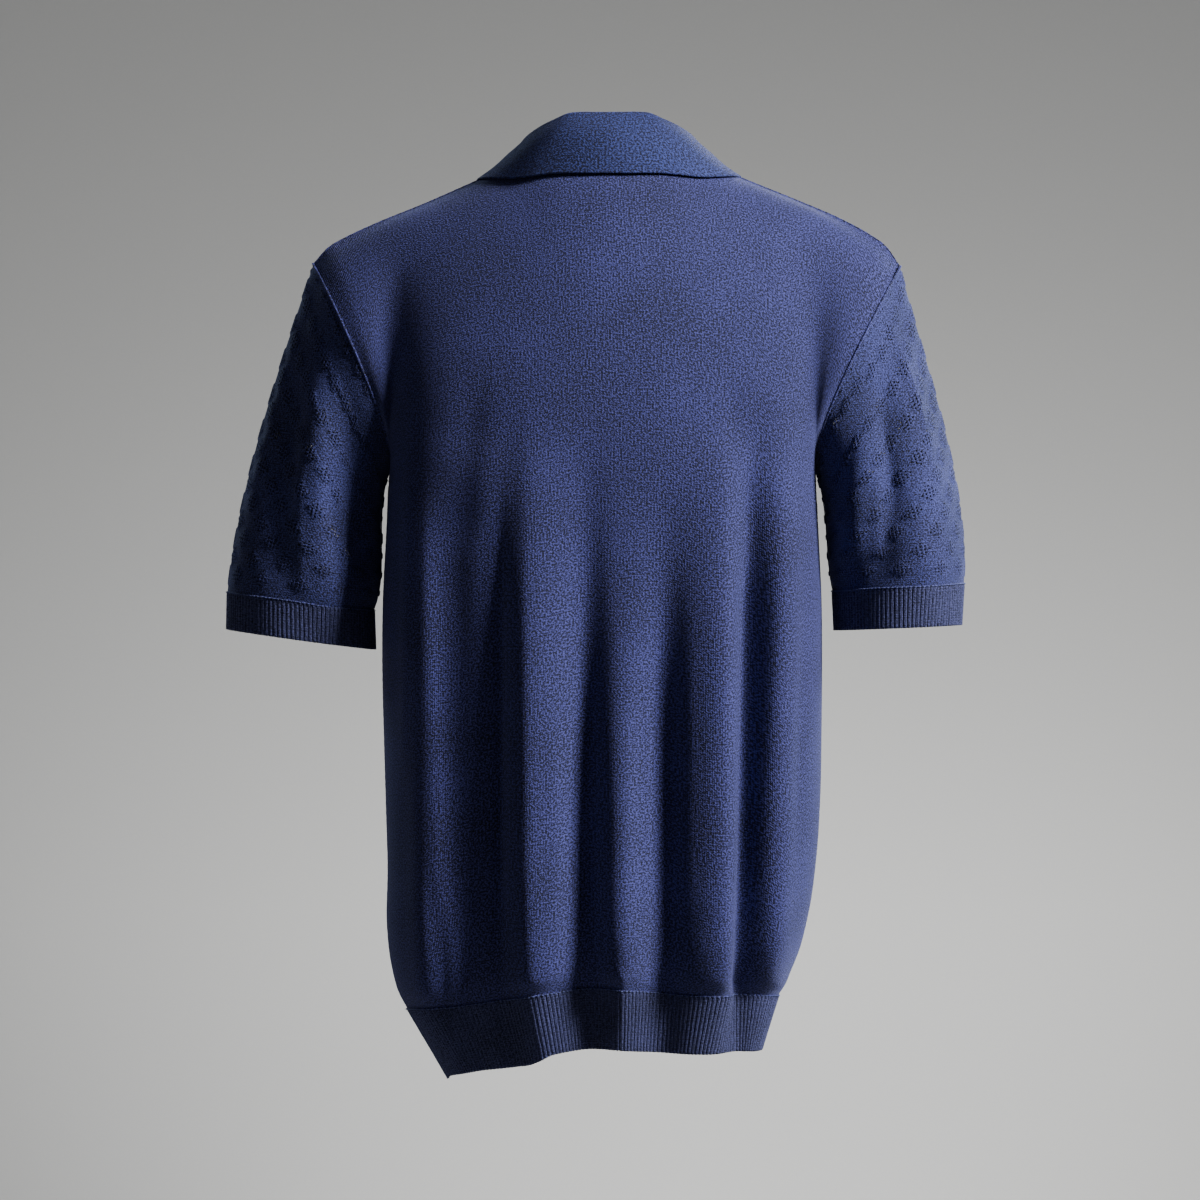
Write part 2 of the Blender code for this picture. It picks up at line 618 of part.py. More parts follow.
def make_material(name, roughness):
    material = bpy.data.materials.new(name)
    material.use_nodes = True
    shader = material.node_tree.nodes["Principled BSDF"]
    shader.inputs["Base Color"].default_value = COLOURS[name]
    shader.inputs["Roughness"].default_value = roughness
    shader.inputs["Metallic"].default_value = 0.0
    material.diffuse_color = COLOURS[name]
    return material


def slot_rows(front):
    """The first row of the front's grid that lies above the bottom of the slot."""
    heights = front[:, HALF_COLUMNS, 2]
    return int(np.argmin(abs(heights - SLOT_BOTTOM_Z)))


def placket_band(name, front, first_row, lift, material):
    """A band that fills the slot, made from the front's own points and moved out or in."""
    middle = HALF_COLUMNS
    points = front.points[first_row:, middle - 1:middle + 2].copy()
    normals = front.normals[first_row:, middle - 1:middle + 2].copy()
    normals[:] = unit((normals[:, 0] + normals[:, 2]) * np.array([0.0, 1.0, 1.0]))[:, None]
    band = Panel(name, points + normals * lift, normals)
    band.normals = normals
    band.shift[:, 0, 0] += SEAM_GAP
    band.shift[:, 2, 0] -= SEAM_GAP
    band.shift[0] += unit(points[1] - points[0]) * SEAM_GAP
    band.shift[-1] -= unit(points[-1] - points[-2]) * SEAM_GAP
    wall(band, PANEL_WALL, material)
    return band


def button(name, place, normal, material):
    """A four-hole button: a turned disc with a raised rim, pierced by four small holes."""
    radius, rise = BUTTON_DIAMETER / 2, BUTTON_THICKNESS
    profile = ((0.0, 0.0), (radius * 0.8, 0.0), (radius, rise * 0.4), (radius, rise * 0.7),
               (radius * 0.88, rise), (radius * 0.72, rise), (radius * 0.58, rise * 0.7), (0.0, rise * 0.66))
    mesh = bmesh.new()
    corners = [mesh.verts.new((x, 0.0, z)) for x, z in profile]
    for low, high in zip(corners, corners[1:]):
        mesh.edges.new((low, high))
    bmesh.ops.spin(mesh, geom=mesh.verts[:] + mesh.edges[:], angle=2 * math.pi, steps=BUTTON_STEPS,
                   axis=(0.0, 0.0, 1.0), cent=(0.0, 0.0, 0.0))
    bmesh.ops.remove_doubles(mesh, verts=mesh.verts, dist=0.00002)
    bmesh.ops.recalc_face_normals(mesh, faces=mesh.faces)
    data = bpy.data.meshes.new(name)
    mesh.to_mesh(data)
    mesh.free()
    data.shade_smooth()
    data.set_sharp_from_angle(angle=math.radians(35))
    obj = add_object(name, data, material)
    turn = Vector((0.0, 0.0, 1.0)).rotation_difference(Vector(normal))
    obj.rotation_mode = "QUATERNION"
    obj.rotation_quaternion = turn
    obj.location = place
    for k in range(4):
        angle = math.pi / 4 + k * math.pi / 2
        offset = Vector((math.cos(angle), math.sin(angle), 0.0)) * THREAD_HOLE_PLACE
        bpy.ops.mesh.primitive_cylinder_add(vertices=6, radius=THREAD_HOLE_RADIUS, depth=3 * BUTTON_THICKNESS)
        cutter = bpy.context.active_object
        cutter.name = f"{name}_hole_{k + 1}"
        cutter.rotation_mode = "QUATERNION"
        cutter.rotation_quaternion = turn
        cutter.location = Vector(place) + turn @ offset
        for home in cutter.users_collection:
            home.objects.unlink(cutter)
        cutters.objects.link(cutter)
        cutter.hide_render = True
        cutter.display_type = "WIRE"
        hole = obj.modifiers.new(f"hole_{k + 1}", "BOOLEAN")
        hole.operation = "DIFFERENCE"
        hole.solver = "EXACT"
        hole.object = cutter


for old in list(bpy.data.objects):
    bpy.data.objects.remove(old)
parts = bpy.data.collections.new("polo_shirt")
cutters = bpy.data.collections.new("cutters")
for home in (parts, cutters):
    bpy.context.scene.collection.children.link(home)

plain_knit = make_material("plain_knit", 0.85)
openwork_knit = make_material("openwork_knit", 0.85)
rib_knit = make_material("rib_knit", 0.88)
collar_knit = make_material("collar_knit", 0.85)
button_resin = make_material("button_resin", 0.35)

back_points = body_grid(1)
front_points = body_grid(-1)
out_back = back_points * np.array([1.0, 1.0, 0.0]) + np.array([0.0, 0.0, 0.02])
out_front = front_points * np.array([1.0, 1.0, 0.0]) + np.array([0.0, 0.0, 0.02])
slot_start = slot_rows(front_points)
slot_cells = {(r, c) for r in range(slot_start, len(front_points) - 1) for c in (HALF_COLUMNS - 1, HALF_COLUMNS)}
back = Panel("back", back_points, out_back)
front = Panel("front", front_points, out_front, missing=slot_cells)
panels = [back, front]

hems = {}
for side, panel, name in ((1, back, "hem_rib_back"), (-1, front, "hem_rib_front")):
    grid = np.array([hem_edge(panel.points[0], side), panel.points[0]])
    hems[side] = Panel(name, grid, grid * np.array([1.0, 1.0, 0.0]))
    panels.append(hems[side])

sleeves, cuffs = {}, {}
for hand, word in ((1, "left"), (-1, "right")):
    ring = ring_of(back.points, front.points, hand)
    grid = sleeve_grid(ring, hand)
    sleeves[hand] = Panel(f"sleeve_{word}", grid, grid - grid.mean(axis=1, keepdims=True), ring=True)
    edge = cuff_oval(CUFF_EDGE[hand], ring_angles(ring), hand)
    grid = np.array([sleeves[hand].points[-1], edge])
    cuffs[hand] = Panel(f"cuff_{word}", grid, grid - grid.mean(axis=1, keepdims=True), ring=True)
    panels += [sleeves[hand], cuffs[hand]]

collar_seam = neckline_ring(back.points, front.points)
collar_points = collar_grid(collar_seam, surface_tree([back.points, front.points]))
collar_out = np.repeat((collar_seam * np.array([1.0, 1.0, 0.0]))[None], len(collar_points), axis=0)
collar_out[2:] = 0.0
collar = Panel("collar", collar_points, collar_out)
panels.append(collar)

share_normals(panels)
all_columns = slice(None)
neck = slice(HALF_COLUMNS - NECK_COLUMNS, HALF_COLUMNS + NECK_COLUMNS + 1)
for edge, inner in ((0, 1), (-1, -2)):
    rows = slice(0, LOWER_ROWS + 1)
    seam(back, (rows, edge), (rows, inner), front, (rows, edge), (rows, inner))
for columns in (slice(0, neck.start + 1), slice(neck.stop - 1, None)):
    seam(back, (-1, columns), (-2, columns), front, (-1, columns), (-2, columns))
for side, panel in ((1, back), (-1, front)):
    seam(panel, (0, all_columns), (1, all_columns), hems[side], (1, all_columns), (0, all_columns))
for edge, inner in ((0, 1), (-1, -2)):
    seam(hems[1], (all_columns, edge), (all_columns, inner), hems[-1], (all_columns, edge), (all_columns, inner))
for hand in (1, -1):
    edge, inner = (-1, -2) if hand > 0 else (0, 1)
    sleeve = sleeves[hand]
    rows = slice(LOWER_ROWS, None)
    ring_back = slice(0, UPPER_ROWS + 1)
    seam(back, (rows, edge), (rows, inner), sleeve, (0, ring_back), (1, ring_back))
    ring_front = np.array([0] + list(range(2 * UPPER_ROWS - 1, UPPER_ROWS - 1, -1)))
    held = sleeve.shift[0, [0, UPPER_ROWS]].copy()
    seam(front, (rows, edge), (rows, inner), sleeve, (0, ring_front), (1, ring_front))
    sleeve.shift[0, [0, UPPER_ROWS]] = (sleeve.shift[0, [0, UPPER_ROWS]] + held) / 2
    seam(sleeve, (-1, all_columns), (-2, all_columns), cuffs[hand], (0, all_columns), (1, all_columns))
behind = slice(NECK_COLUMNS, 3 * NECK_COLUMNS + 1)
seam(back, (-1, neck), (-2, neck), collar, (0, behind), (1, behind))
right_front = slice(1, NECK_COLUMNS + 1)
front_right = slice(HALF_COLUMNS - 1, HALF_COLUMNS - NECK_COLUMNS - 1, -1)
seam(front, (-1, front_right), (-2, front_right), collar, (0, right_front), (1, right_front))
left_front = slice(3 * NECK_COLUMNS, 4 * NECK_COLUMNS)
front_left = slice(HALF_COLUMNS + NECK_COLUMNS, HALF_COLUMNS, -1)
seam(front, (-1, front_left), (-2, front_left), collar, (0, left_front), (1, left_front))
collar.shift[0, 0] = collar.shift[0, 1]
collar.shift[0, -1] = collar.shift[0, -2]

for side in (1, -1):
    ribbed(hems[side], HEM_PARTS)
for hand in (1, -1):
    ribbed(cuffs[hand], CUFF_PARTS)

wall(back, PANEL_WALL, plain_knit)
wall(front, PANEL_WALL, openwork_knit)
for hand in (1, -1):
    wall(sleeves[hand], PANEL_WALL, openwork_knit)
    wall(cuffs[hand], BAND_WALL, rib_knit)
for side in (1, -1):
    wall(hems[side], BAND_WALL, rib_knit)
wall(collar, COLLAR_WALL, collar_knit)

top_band = placket_band("placket_top", front, slot_start, BAND_LIFT, openwork_knit)
under_lift = BAND_LIFT - PANEL_WALL - SEAM_GAP
placket_band("placket_under", front, slot_start, under_lift, openwork_knit)
for number, drop in enumerate(BUTTON_DROPS, 1):
    heights = top_band.points[:, 1, 2]
    level = NECK_FRONT[1] - drop
    place = np.array([np.interp(level, heights, top_band.points[:, 1, i]) for i in range(3)])
    normal = unit(np.array([np.interp(level, heights, top_band.normals[:, 1, i]) for i in range(3)]))
    button(f"button_{number}", place + normal * (PANEL_WALL / 2 + SEAM_GAP), normal, button_resin)
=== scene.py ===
# %% [markdown]
# # A knitted polo shirt
# The shirt hangs in the hollow shape of its wearer and is seen from behind. Each knitted piece is a
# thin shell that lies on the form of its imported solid. The wearer faces -Y, so the back panel is on
# the +Y side, and +X is the wearer's left. Lengths in the tables are millimetres.

# %% Load the frame
import math
from collections import namedtuple

import bpy
import numpy as np
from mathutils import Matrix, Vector
from mathutils.bvhtree import BVHTree


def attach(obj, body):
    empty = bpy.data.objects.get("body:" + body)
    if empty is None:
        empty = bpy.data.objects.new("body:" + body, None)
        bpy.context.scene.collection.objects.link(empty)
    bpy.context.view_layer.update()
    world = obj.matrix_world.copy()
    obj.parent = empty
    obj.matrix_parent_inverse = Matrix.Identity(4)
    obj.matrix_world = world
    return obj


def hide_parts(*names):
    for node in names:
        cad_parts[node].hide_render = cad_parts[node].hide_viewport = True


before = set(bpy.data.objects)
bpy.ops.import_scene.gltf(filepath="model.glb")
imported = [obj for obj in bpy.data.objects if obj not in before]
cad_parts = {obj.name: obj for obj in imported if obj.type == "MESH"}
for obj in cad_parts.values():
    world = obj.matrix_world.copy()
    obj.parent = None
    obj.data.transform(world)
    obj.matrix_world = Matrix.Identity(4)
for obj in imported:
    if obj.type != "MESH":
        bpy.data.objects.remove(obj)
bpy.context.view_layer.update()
bpy.ops.object.select_all(action="DESELECT")
print("CAD nodes:", sorted(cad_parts))

# %% [markdown]
# ## The cut of the shirt
# A knitted polo is linked together from shaped panels. The tables hold the outline of those panels
# as worn: the neck and shoulder seams, the body below the armpits, the hem band and the cuffs.

# %% Sizes of the body
MM = 0.001
ARMPIT_Z = -252 * MM
NECK_X = -4 * MM
NECK_HALF_WIDTH = 75 * MM
NECK_BACK = (54 * MM, -9 * MM)
NECK_FRONT = (-66 * MM, -76 * MM)
NECK_SIDE_Z = {1: -3 * MM, -1: -1 * MM}
SEAM_FORWARD = -4 * MM
SHOULDER_TIP = {1: (235.5 * MM, -84 * MM), -1: (-240 * MM, -86 * MM)}
BODY_SQUARENESS = {1: 2.9, -1: 2.5}
HALF_COLUMNS, NECK_COLUMNS, LOWER_ROWS, UPPER_ROWS = 22, 8, 10, 11
LEVEL_SHARES = np.array([0.0, 0.03, 0.075, 0.15, 0.26, 0.38, 0.50, 0.62, 0.75, 0.88, 1.0])
LEAVE_BACK = np.array([0.0, 3.0, 105.0]) * MM
LEAVE_FRONT = np.array([0.0, -4.0, 85.0]) * MM
LEAVE_ARMPIT = np.array([10.0, 74.0, 20.0]) * MM
REACH_NECK_BACK = np.array([0.0, 94.0, -34.0]) * MM
REACH_NECK_FRONT = np.array([0.0, -92.0, -45.0]) * MM
REACH_SHOULDER = np.array([0.0, 72.0, -12.0]) * MM
REACH_SHOULDER_LESS = 20 * MM
REACH_TIP = np.array([28.0, 84.0, -46.0]) * MM

ShoulderPlace = namedtuple("ShoulderPlace", "along drop_left drop_right")
SHOULDER_LINE = (
    ShoulderPlace(0.00, 0.000, 0.000),
    ShoulderPlace(0.22, 0.195, 0.175),
    ShoulderPlace(0.45, 0.400, 0.350),
    ShoulderPlace(0.70, 0.605, 0.550),
    ShoulderPlace(0.88, 0.780, 0.740),
    ShoulderPlace(0.97, 0.910, 0.890),
    ShoulderPlace(1.00, 1.000, 1.000),
)
BodyLevel = namedtuple("BodyLevel", "share left right back front")
BODY_LEVELS = (
    BodyLevel(0.00, 158.5, -136.5, 107.0, -107.0),
    BodyLevel(0.03, 165.5, -145.0, 114.5, -114.0),
    BodyLevel(0.07, 170.5, -154.5, 118.5, -116.5),
    BodyLevel(0.14, 175.0, -163.5, 120.5, -118.0),
    BodyLevel(0.24, 174.5, -170.5, 120.5, -118.5),
    BodyLevel(0.42, 176.5, -175.0, 119.5, -119.5),
    BodyLevel(0.68, 179.0, -176.0, 117.0, -121.5),
    BodyLevel(1.00, 173.0, -170.5, 115.0, -122.0),
)
HemPlace = namedtuple("HemPlace", "around seam_back edge_back seam_front edge_front")
HEM_LINE = (
    HemPlace(-1.00, -676.0, -718.0, -676.0, -718.0),
    HemPlace(-0.55, -668.0, -714.5, -675.0, -720.0),
    HemPlace(-0.28, -666.0, -713.5, -673.0, -720.0),
    HemPlace(0.00, -660.5, -709.5, -672.0, -719.0),
    HemPlace(0.20, -664.0, -712.5, -674.0, -721.0),
    HemPlace(0.32, -669.0, -722.5, -675.0, -723.0),
    HemPlace(0.55, -677.0, -729.0, -679.0, -728.0),
    HemPlace(1.00, -687.0, -744.0, -687.0, -744.0),
)
HEM_EDGE_LEFT, HEM_EDGE_RIGHT, HEM_EDGE_DEPTH = 126 * MM, -127.5 * MM, 95 * MM
HEM_EDGE_FOLD_SHARE = 0.55

# %% [markdown]
# ## The cut of the sleeves and the collar
# A sleeve is fixed by its two ends: the armhole, which the body gives, and the oval where the cuff
# starts. The collar is a short table of sections from the middle of the back to its front points,
# since its stand, its fall and its spread all change on the way round.

# %% Sizes of the sleeves, cuffs and collar
CuffEnd = namedtuple("CuffEnd", "inner outer half_depth z_inner z_outer")
CUFF_SEAM = {
    1: CuffEnd(186.5, 305.0, 58.5, -364.5, -350.0),
    -1: CuffEnd(-185.5, -291.5, 68.0, -349.0, -343.0),
}
CUFF_EDGE = {
    1: CuffEnd(185.5, 305.5, 58.0, -396.5, -380.0),
    -1: CuffEnd(-187.0, -289.5, 66.5, -381.0, -376.5),
}
CUFF_CENTRE_Y = -4 * MM
SLEEVE_UNDERARM, SLEEVE_FLARE = 0.50, {1: 0.33, -1: 0.25}
SLEEVE_FLATTEN, SLEEVE_LEAN = 0.16, {1: 0.26, -1: 0.10}
SLEEVE_GATHER, SLEEVE_PULL = 0.16, 0.95
CollarPlace = namedtuple("CollarPlace", "around stand lean spread drop swing bulge")
COLLAR_PLACES = (
    CollarPlace(0.00, 39, 8, 20, 42.5, 0, 4),
    CollarPlace(0.15, 39, 8, 21, 43, 0, 3),
    CollarPlace(0.27, 32, 9, 26, 39, 0, 1),
    CollarPlace(0.40, 22, 10, 32, 29, 1, -2),
    CollarPlace(0.50, 17, 9, 34, 28, 2, -1),
    CollarPlace(0.62, 17, 6, 36, 31, 4, 0),
    CollarPlace(0.80, 20, 5, 33, 46, 14, 2),
    CollarPlace(1.00, 20, 5, 24, 60, 38, 2),
)
FOLD_RADIUS = 2.6 * MM
COLLAR_END_X = 2 * MM
COLLAR_CLEARANCE = 1.7 * MM
SLOT_HALF_WIDTH, SLOT_BOTTOM_Z = 15 * MM, -236 * MM

# %% [markdown]
# ## Folds
# Soft knitwear hangs from the shoulder blades in long troughs and ridges that deepen towards the
# hem band. The first rows are the main folds of the solids. The later ones are the finer creases:
# each is uneven in length, depth and spread, because cloth never repeats itself.

# %% Fold tables
Fold = namedtuple("Fold", "x_high z_high x_low depth to_left to_right fade")
BACK_FOLDS = (
    Fold(58, -170, 56, 13.0, 14, 24, 260),
    Fold(86, -240, 84, -8.0, 20, 12, 260),
    Fold(13, -190, 16, -12.5, 16, 15, 260),
    Fold(-15, -330, -14, 10.0, 16, 15, 220),
    Fold(-48, -240, -48, -16.0, 17, 16, 260),
    Fold(-90, -190, -94, 12.0, 24, 12, 240),
    Fold(-122, -175, -112, -19.0, 13, 12, 200),
    Fold(-146, -190, -130, 8.0, 13, 15, 200),
    Fold(122, -180, 112, -7.0, 18, 16, 240),
    Fold(146, -200, 138, 6.0, 13, 12, 240),
)
FRONT_FOLDS = (
    Fold(-120, -190, -106, 10.0, 18, 14, 240),
    Fold(-88, -230, -78, -13.0, 16, 15, 250),
    Fold(-48, -280, -44, 8.0, 18, 18, 260),
    Fold(8, -300, 2, -10.0, 20, 18, 260),
    Fold(52, -250, 48, 10.0, 17, 20, 260),
    Fold(90, -210, 84, -13.0, 15, 17, 240),
    Fold(124, -200, 116, 10.0, 14, 16, 240),
)
# A crease has an end of its own: z_high and z_low in place of running down to the hem.
Crease = namedtuple("Crease", "x_high z_high x_low z_low depth to_left to_right")
BACK_CREASES = (
    Crease(80, -250, 85, -660, -2.6, 4, 7),
    Crease(74, -240, 73, -655, 3.4, 6, 15),
    Crease(141, -250, 126, -680, 2.0, 5, 6),
    Crease(152, -190, 158, -520, 1.8, 6, 6),
    Crease(134, -560, 125, -690, -1.8, 5, 4),
    Crease(121, -590, 120, -690, 1.6, 4, 5),
    Crease(2, -370, 1, -655, 2.8, 6, 13),
    Crease(-12, -640, -16, -672, 2.4, 5, 5),
    Crease(-29, -400, -27, -640, -1.5, 6, 6),
    Crease(-66, -330, -64, -640, 1.6, 7, 6),
    Crease(-101, -270, -103, -650, 1.8, 5, 4),
    Crease(-138, -260, -121, -640, 2.0, 5, 6),
    Crease(-160, -260, -150, -560, -1.6, 6, 6),
    Crease(38, -420, 36, -650, 1.3, 6, 5),
    Crease(100, -160, 112, -330, -1.8, 14, 12),
    Crease(-96, -150, -118, -330, -1.8, 12, 14),
)
FRONT_CREASES = (
    Crease(70, -300, 66, -650, 1.6, 5, 6),
    Crease(104, -330, 98, -640, -2.0, 6, 6),
    Crease(140, -260, 132, -600, 1.8, 6, 6),
    Crease(26, -390, 22, -660, 1.4, 6, 5),
    Crease(-26, -360, -24, -620, -1.6, 6, 6),
    Crease(-66, -310, -60, -650, 1.6, 5, 6),
    Crease(-102, -280, -92, -640, -1.8, 6, 5),
    Crease(-138, -250, -126, -600, 1.8, 6, 6),
    Crease(100, -150, 116, -320, -1.8, 13, 12),
    Crease(-100, -150, -118, -320, -1.8, 12, 13),
)
# Round a sleeve: 0 faces the body, 90 the back, 180 outward, 270 the front, in degrees.
SleeveFold = namedtuple("SleeveFold", "angle_high angle_low depth spread start end")
SLEEVE_FOLDS = {
    1: (
        SleeveFold(125, 66, 6.5, 20, 0.15, 1.15),
        SleeveFold(84, 34, -6.0, 20, 0.05, 0.85),
        SleeveFold(150, 104, -3.5, 18, 0.20, 1.00),
        SleeveFold(262, 285, -5.0, 24, 0.10, 0.95),
        SleeveFold(138, 84, 1.6, 6, 0.30, 1.00),
        SleeveFold(112, 52, -1.4, 6, 0.35, 1.05),
        SleeveFold(168, 150, 1.5, 7, 0.10, 0.80),
        SleeveFold(240, 250, 1.6, 8, 0.20, 0.90),
    ),
    -1: (
        SleeveFold(152, 108, 4.5, 20, 0.10, 1.10),
        SleeveFold(128, 62, -6.5, 19, 0.10, 1.05),
        SleeveFold(90, 34, 4.0, 18, 0.20, 0.90),
        SleeveFold(262, 285, -5.0, 24, 0.10, 0.95),
        SleeveFold(142, 132, 1.8, 5, 0.02, 0.55),
        SleeveFold(118, 78, -1.8, 7, 0.15, 0.75),
        SleeveFold(104, 60, 1.5, 6, 0.30, 0.95),
        SleeveFold(240, 250, 1.6, 8, 0.20, 0.90),
    ),
}

# %% [markdown]
# ## Smooth curves from short tables
# Two curves are enough for cloth: one that never overshoots its table, for outlines, and one that
# runs evenly through a grid of points, for turning a coarse grid into a fine one.


# %% Curve helpers
def smooth(low, high, value):
    share = np.clip((np.asarray(value, float) - low) / (high - low), 0.0, 1.0)
    return share * share * (3.0 - 2.0 * share)


def through(places, values, at):
    """A curve through a table's column that keeps between its values."""
    places, values, at = (np.asarray(a, float) for a in (places, values, at))
    steps = np.diff(values) / np.diff(places)
    same_way = steps[:-1] * steps[1:] > 0
    mean = 2 * steps[:-1] * steps[1:] / np.where(same_way, steps[:-1] + steps[1:], 1)
    slopes = np.concatenate([steps[:1], np.where(same_way, mean, 0), steps[-1:]])
    row = np.clip(np.searchsorted(places, at) - 1, 0, len(places) - 2)
    width = places[row + 1] - places[row]
    t = np.clip((at - places[row]) / width, 0.0, 1.0)
    start = values[row] * (1 + 2 * t) * (1 - t) ** 2 + slopes[row] * width * t * (1 - t) ** 2
    end = values[row + 1] * t * t * (3 - 2 * t) - slopes[row + 1] * width * t * t * (1 - t)
    return start + end


def column(table, name, at, key="share"):
    return through([getattr(row, key) for row in table], [getattr(row, name) for row in table], at)


def spline(values, places, at):
    """Values along the first axis, read at other places on an even curve through them all."""
    flat = values.reshape(len(values), -1)
    gaps = np.diff(places)[:, None]
    steps = np.diff(flat, axis=0) / gaps
    inner = (steps[:-1] * gaps[1:] + steps[1:] * gaps[:-1]) / (gaps[1:] + gaps[:-1])
    slopes = np.concatenate([steps[:1], inner, steps[-1:]])
    row = np.clip(np.searchsorted(places, at, side="right") - 1, 0, len(places) - 2)
    width = gaps[row]
    t = (at - places[row])[:, None] / width
    start = flat[row] * (1 + 2 * t) * (1 - t) ** 2 + slopes[row] * width * t * (1 - t) ** 2
    end = flat[row + 1] * t * t * (3 - 2 * t) - slopes[row + 1] * width * t * t * (1 - t)
    return (start + end).reshape((len(at),) + values.shape[1:])


def unit(vectors):
    return vectors / np.maximum(np.linalg.norm(vectors, axis=-1, keepdims=True), 1e-12)


def run_along(points, axis):
    """Length from the start of each line of a grid to each of its points."""
    points = np.moveaxis(points, axis, 0)
    steps = np.linalg.norm(np.diff(points, axis=0), axis=-1)
    return np.moveaxis(np.concatenate([steps[:1] * 0, np.cumsum(steps, axis=0)]), 0, axis)


def grid_normals(points, ring=False):
    if ring:
        across = np.roll(points, -1, axis=1) - np.roll(points, 1, axis=1)
    else:
        across = np.gradient(points, axis=1)
    return unit(np.cross(np.gradient(points, axis=0), across))


# %% [markdown]
# ## The body's middle surface
# Front and back are half tubes below the armpits, from a squarish oval at each level. Above, every
# column of stitches runs on a smooth curve up to the neckline or the shoulder seam. The grid is
# coarse, like the solid's, and is refined later.


# %% Body grid
def half_oval(left, right, depth, side):
    middle, half = (left + right) / 2, (left - right) / 2
    angle = np.linspace(0.0, math.pi / 2, 241)
    x = half * np.sin(angle) ** (2 / BODY_SQUARENESS[side])
    y = abs(depth) * np.cos(angle) ** (2 / BODY_SQUARENESS[side])
    return np.stack([np.concatenate([middle - x[:0:-1], middle + x]),
                     side * np.concatenate([y[:0:-1], y])], axis=1)


def row_of(curve, side):
    run = run_along(curve, 0)
    middle = np.interp(0.0, curve[:, 0], run)
    halves = []
    for hand, end in ((-1, 0.0), (1, run[-1])):
        at = middle + (end - middle) * np.linspace(0.0, 1.0, HALF_COLUMNS + 1)
        if side < 0:
            slot = np.interp(hand * SLOT_HALF_WIDTH, curve[:, 0], run)
            at[1:NECK_COLUMNS + 1] = np.linspace(slot, at[NECK_COLUMNS], NECK_COLUMNS)
        halves.append(at)
    at = np.concatenate([halves[0][:0:-1], halves[1]])
    points = np.stack([np.interp(at, run, curve[:, i]) for i in range(curve.shape[1])], axis=1)
    around = np.where(at < middle, (at - middle) / middle, (at - middle) / (run[-1] - middle))
    return points, around


def section(share, side):
    left = column(BODY_LEVELS, "left", share) * MM
    right = column(BODY_LEVELS, "right", share) * MM
    depth = column(BODY_LEVELS, "back" if side > 0 else "front", share) * MM
    flat, around = row_of(half_oval(left, right, depth, side), side)
    low = column(HEM_LINE, "seam_back" if side > 0 else "seam_front", around, "around") * MM
    return np.column_stack([flat, low + share * (ARMPIT_Z - low)])


def top_edge(side):
    """The neckline and both shoulder seams, from the right tip to the left one."""
    depth, middle_z = NECK_BACK if side > 0 else NECK_FRONT
    angle = np.linspace(-math.pi / 2, math.pi / 2, 321)
    side_z = np.where(angle < 0, NECK_SIDE_Z[-1], NECK_SIDE_Z[1])
    drop = np.cos(angle) ** (1.0 if side > 0 else 1.35)
    curve = np.stack([NECK_X + NECK_HALF_WIDTH * np.sin(angle), depth * np.cos(angle),
                      side_z + (middle_z - side_z) * drop], axis=1)
    run = run_along(curve, 0)
    at = np.linspace(0.0, run[-1], 2 * NECK_COLUMNS + 1)
    if side < 0:
        slot = np.interp([-SLOT_HALF_WIDTH, 0.0, SLOT_HALF_WIDTH], curve[:, 0], run)
        at = np.concatenate([np.linspace(0.0, slot[0], NECK_COLUMNS), slot[1:2],
                             np.linspace(slot[2], run[-1], NECK_COLUMNS)])
    neck = np.stack([np.interp(at, run, curve[:, i]) for i in range(3)], axis=1)
    seams = []
    for hand, start, name in ((-1, neck[0], "drop_right"), (1, neck[-1], "drop_left")):
        tip_x, tip_z = SHOULDER_TIP[hand]
        t = np.linspace(0.0, 1.0, HALF_COLUMNS - NECK_COLUMNS + 1)[1:]
        drop = column(SHOULDER_LINE, name, t, "along")
        seams.append(np.stack([start[0] + (tip_x - start[0]) * t, SEAM_FORWARD * t,
                               start[2] + (tip_z - start[2]) * drop], axis=1))
    return np.concatenate([seams[0][::-1], neck, seams[1]])


def upper_rows(base, side):
    top = top_edge(side)
    around = abs(np.linspace(-1.0, 1.0, 2 * HALF_COLUMNS + 1))
    neck = NECK_COLUMNS / HALF_COLUMNS
    to_side = smooth(0.70, 1.0, around)[:, None]
    outer = smooth(neck, 0.9, around)[:, None]
    inward_low = np.stack([-np.sign(base[:, 0]), np.full(len(base), side), np.ones(len(base))], axis=1)
    inward_high = np.stack([-np.sign(top[:, 0]), np.full(len(top), side), np.ones(len(top))], axis=1)
    leave = (LEAVE_BACK if side > 0 else LEAVE_FRONT) * (1 - 0.18 * outer)
    low_handle = base + (1 - to_side) * leave + to_side * LEAVE_ARMPIT * inward_low
    on_shoulder = smooth(0.0, neck * 1.3, around)[:, None]
    at_neck = REACH_NECK_BACK if side > 0 else REACH_NECK_FRONT
    at_shoulder = (REACH_SHOULDER - np.array([0.0, 1.0, 0.0]) * REACH_SHOULDER_LESS * outer) * inward_high
    reach = ((1 - on_shoulder) * at_neck + on_shoulder * (1 - to_side) * at_shoulder
             + to_side * REACH_TIP * inward_high)
    high_handle = top * np.array([1.0, 0.0, 1.0]) + reach
    below_neck_point = np.exp(-((around[1:-1] - neck) / 0.16) ** 2)[:, None]
    rows = []
    for t in np.linspace(0.0, 1.0, UPPER_ROWS + 1)[1:]:
        row = ((1 - t) ** 3 * base + 3 * t * (1 - t) ** 2 * low_handle
               + 3 * t * t * (1 - t) * high_handle + t ** 3 * top)
        for _ in range(round((1 - t) * 3 * UPPER_ROWS)):
            row[1:-1] += below_neck_point * (row[:-2] - 2 * row[1:-1] + row[2:]) / 4
        rows.append(row)
    return rows


def coarse_body(side):
    rows = [section(share, side) for share in LEVEL_SHARES]
    return np.array(rows + upper_rows(rows[-1], side))


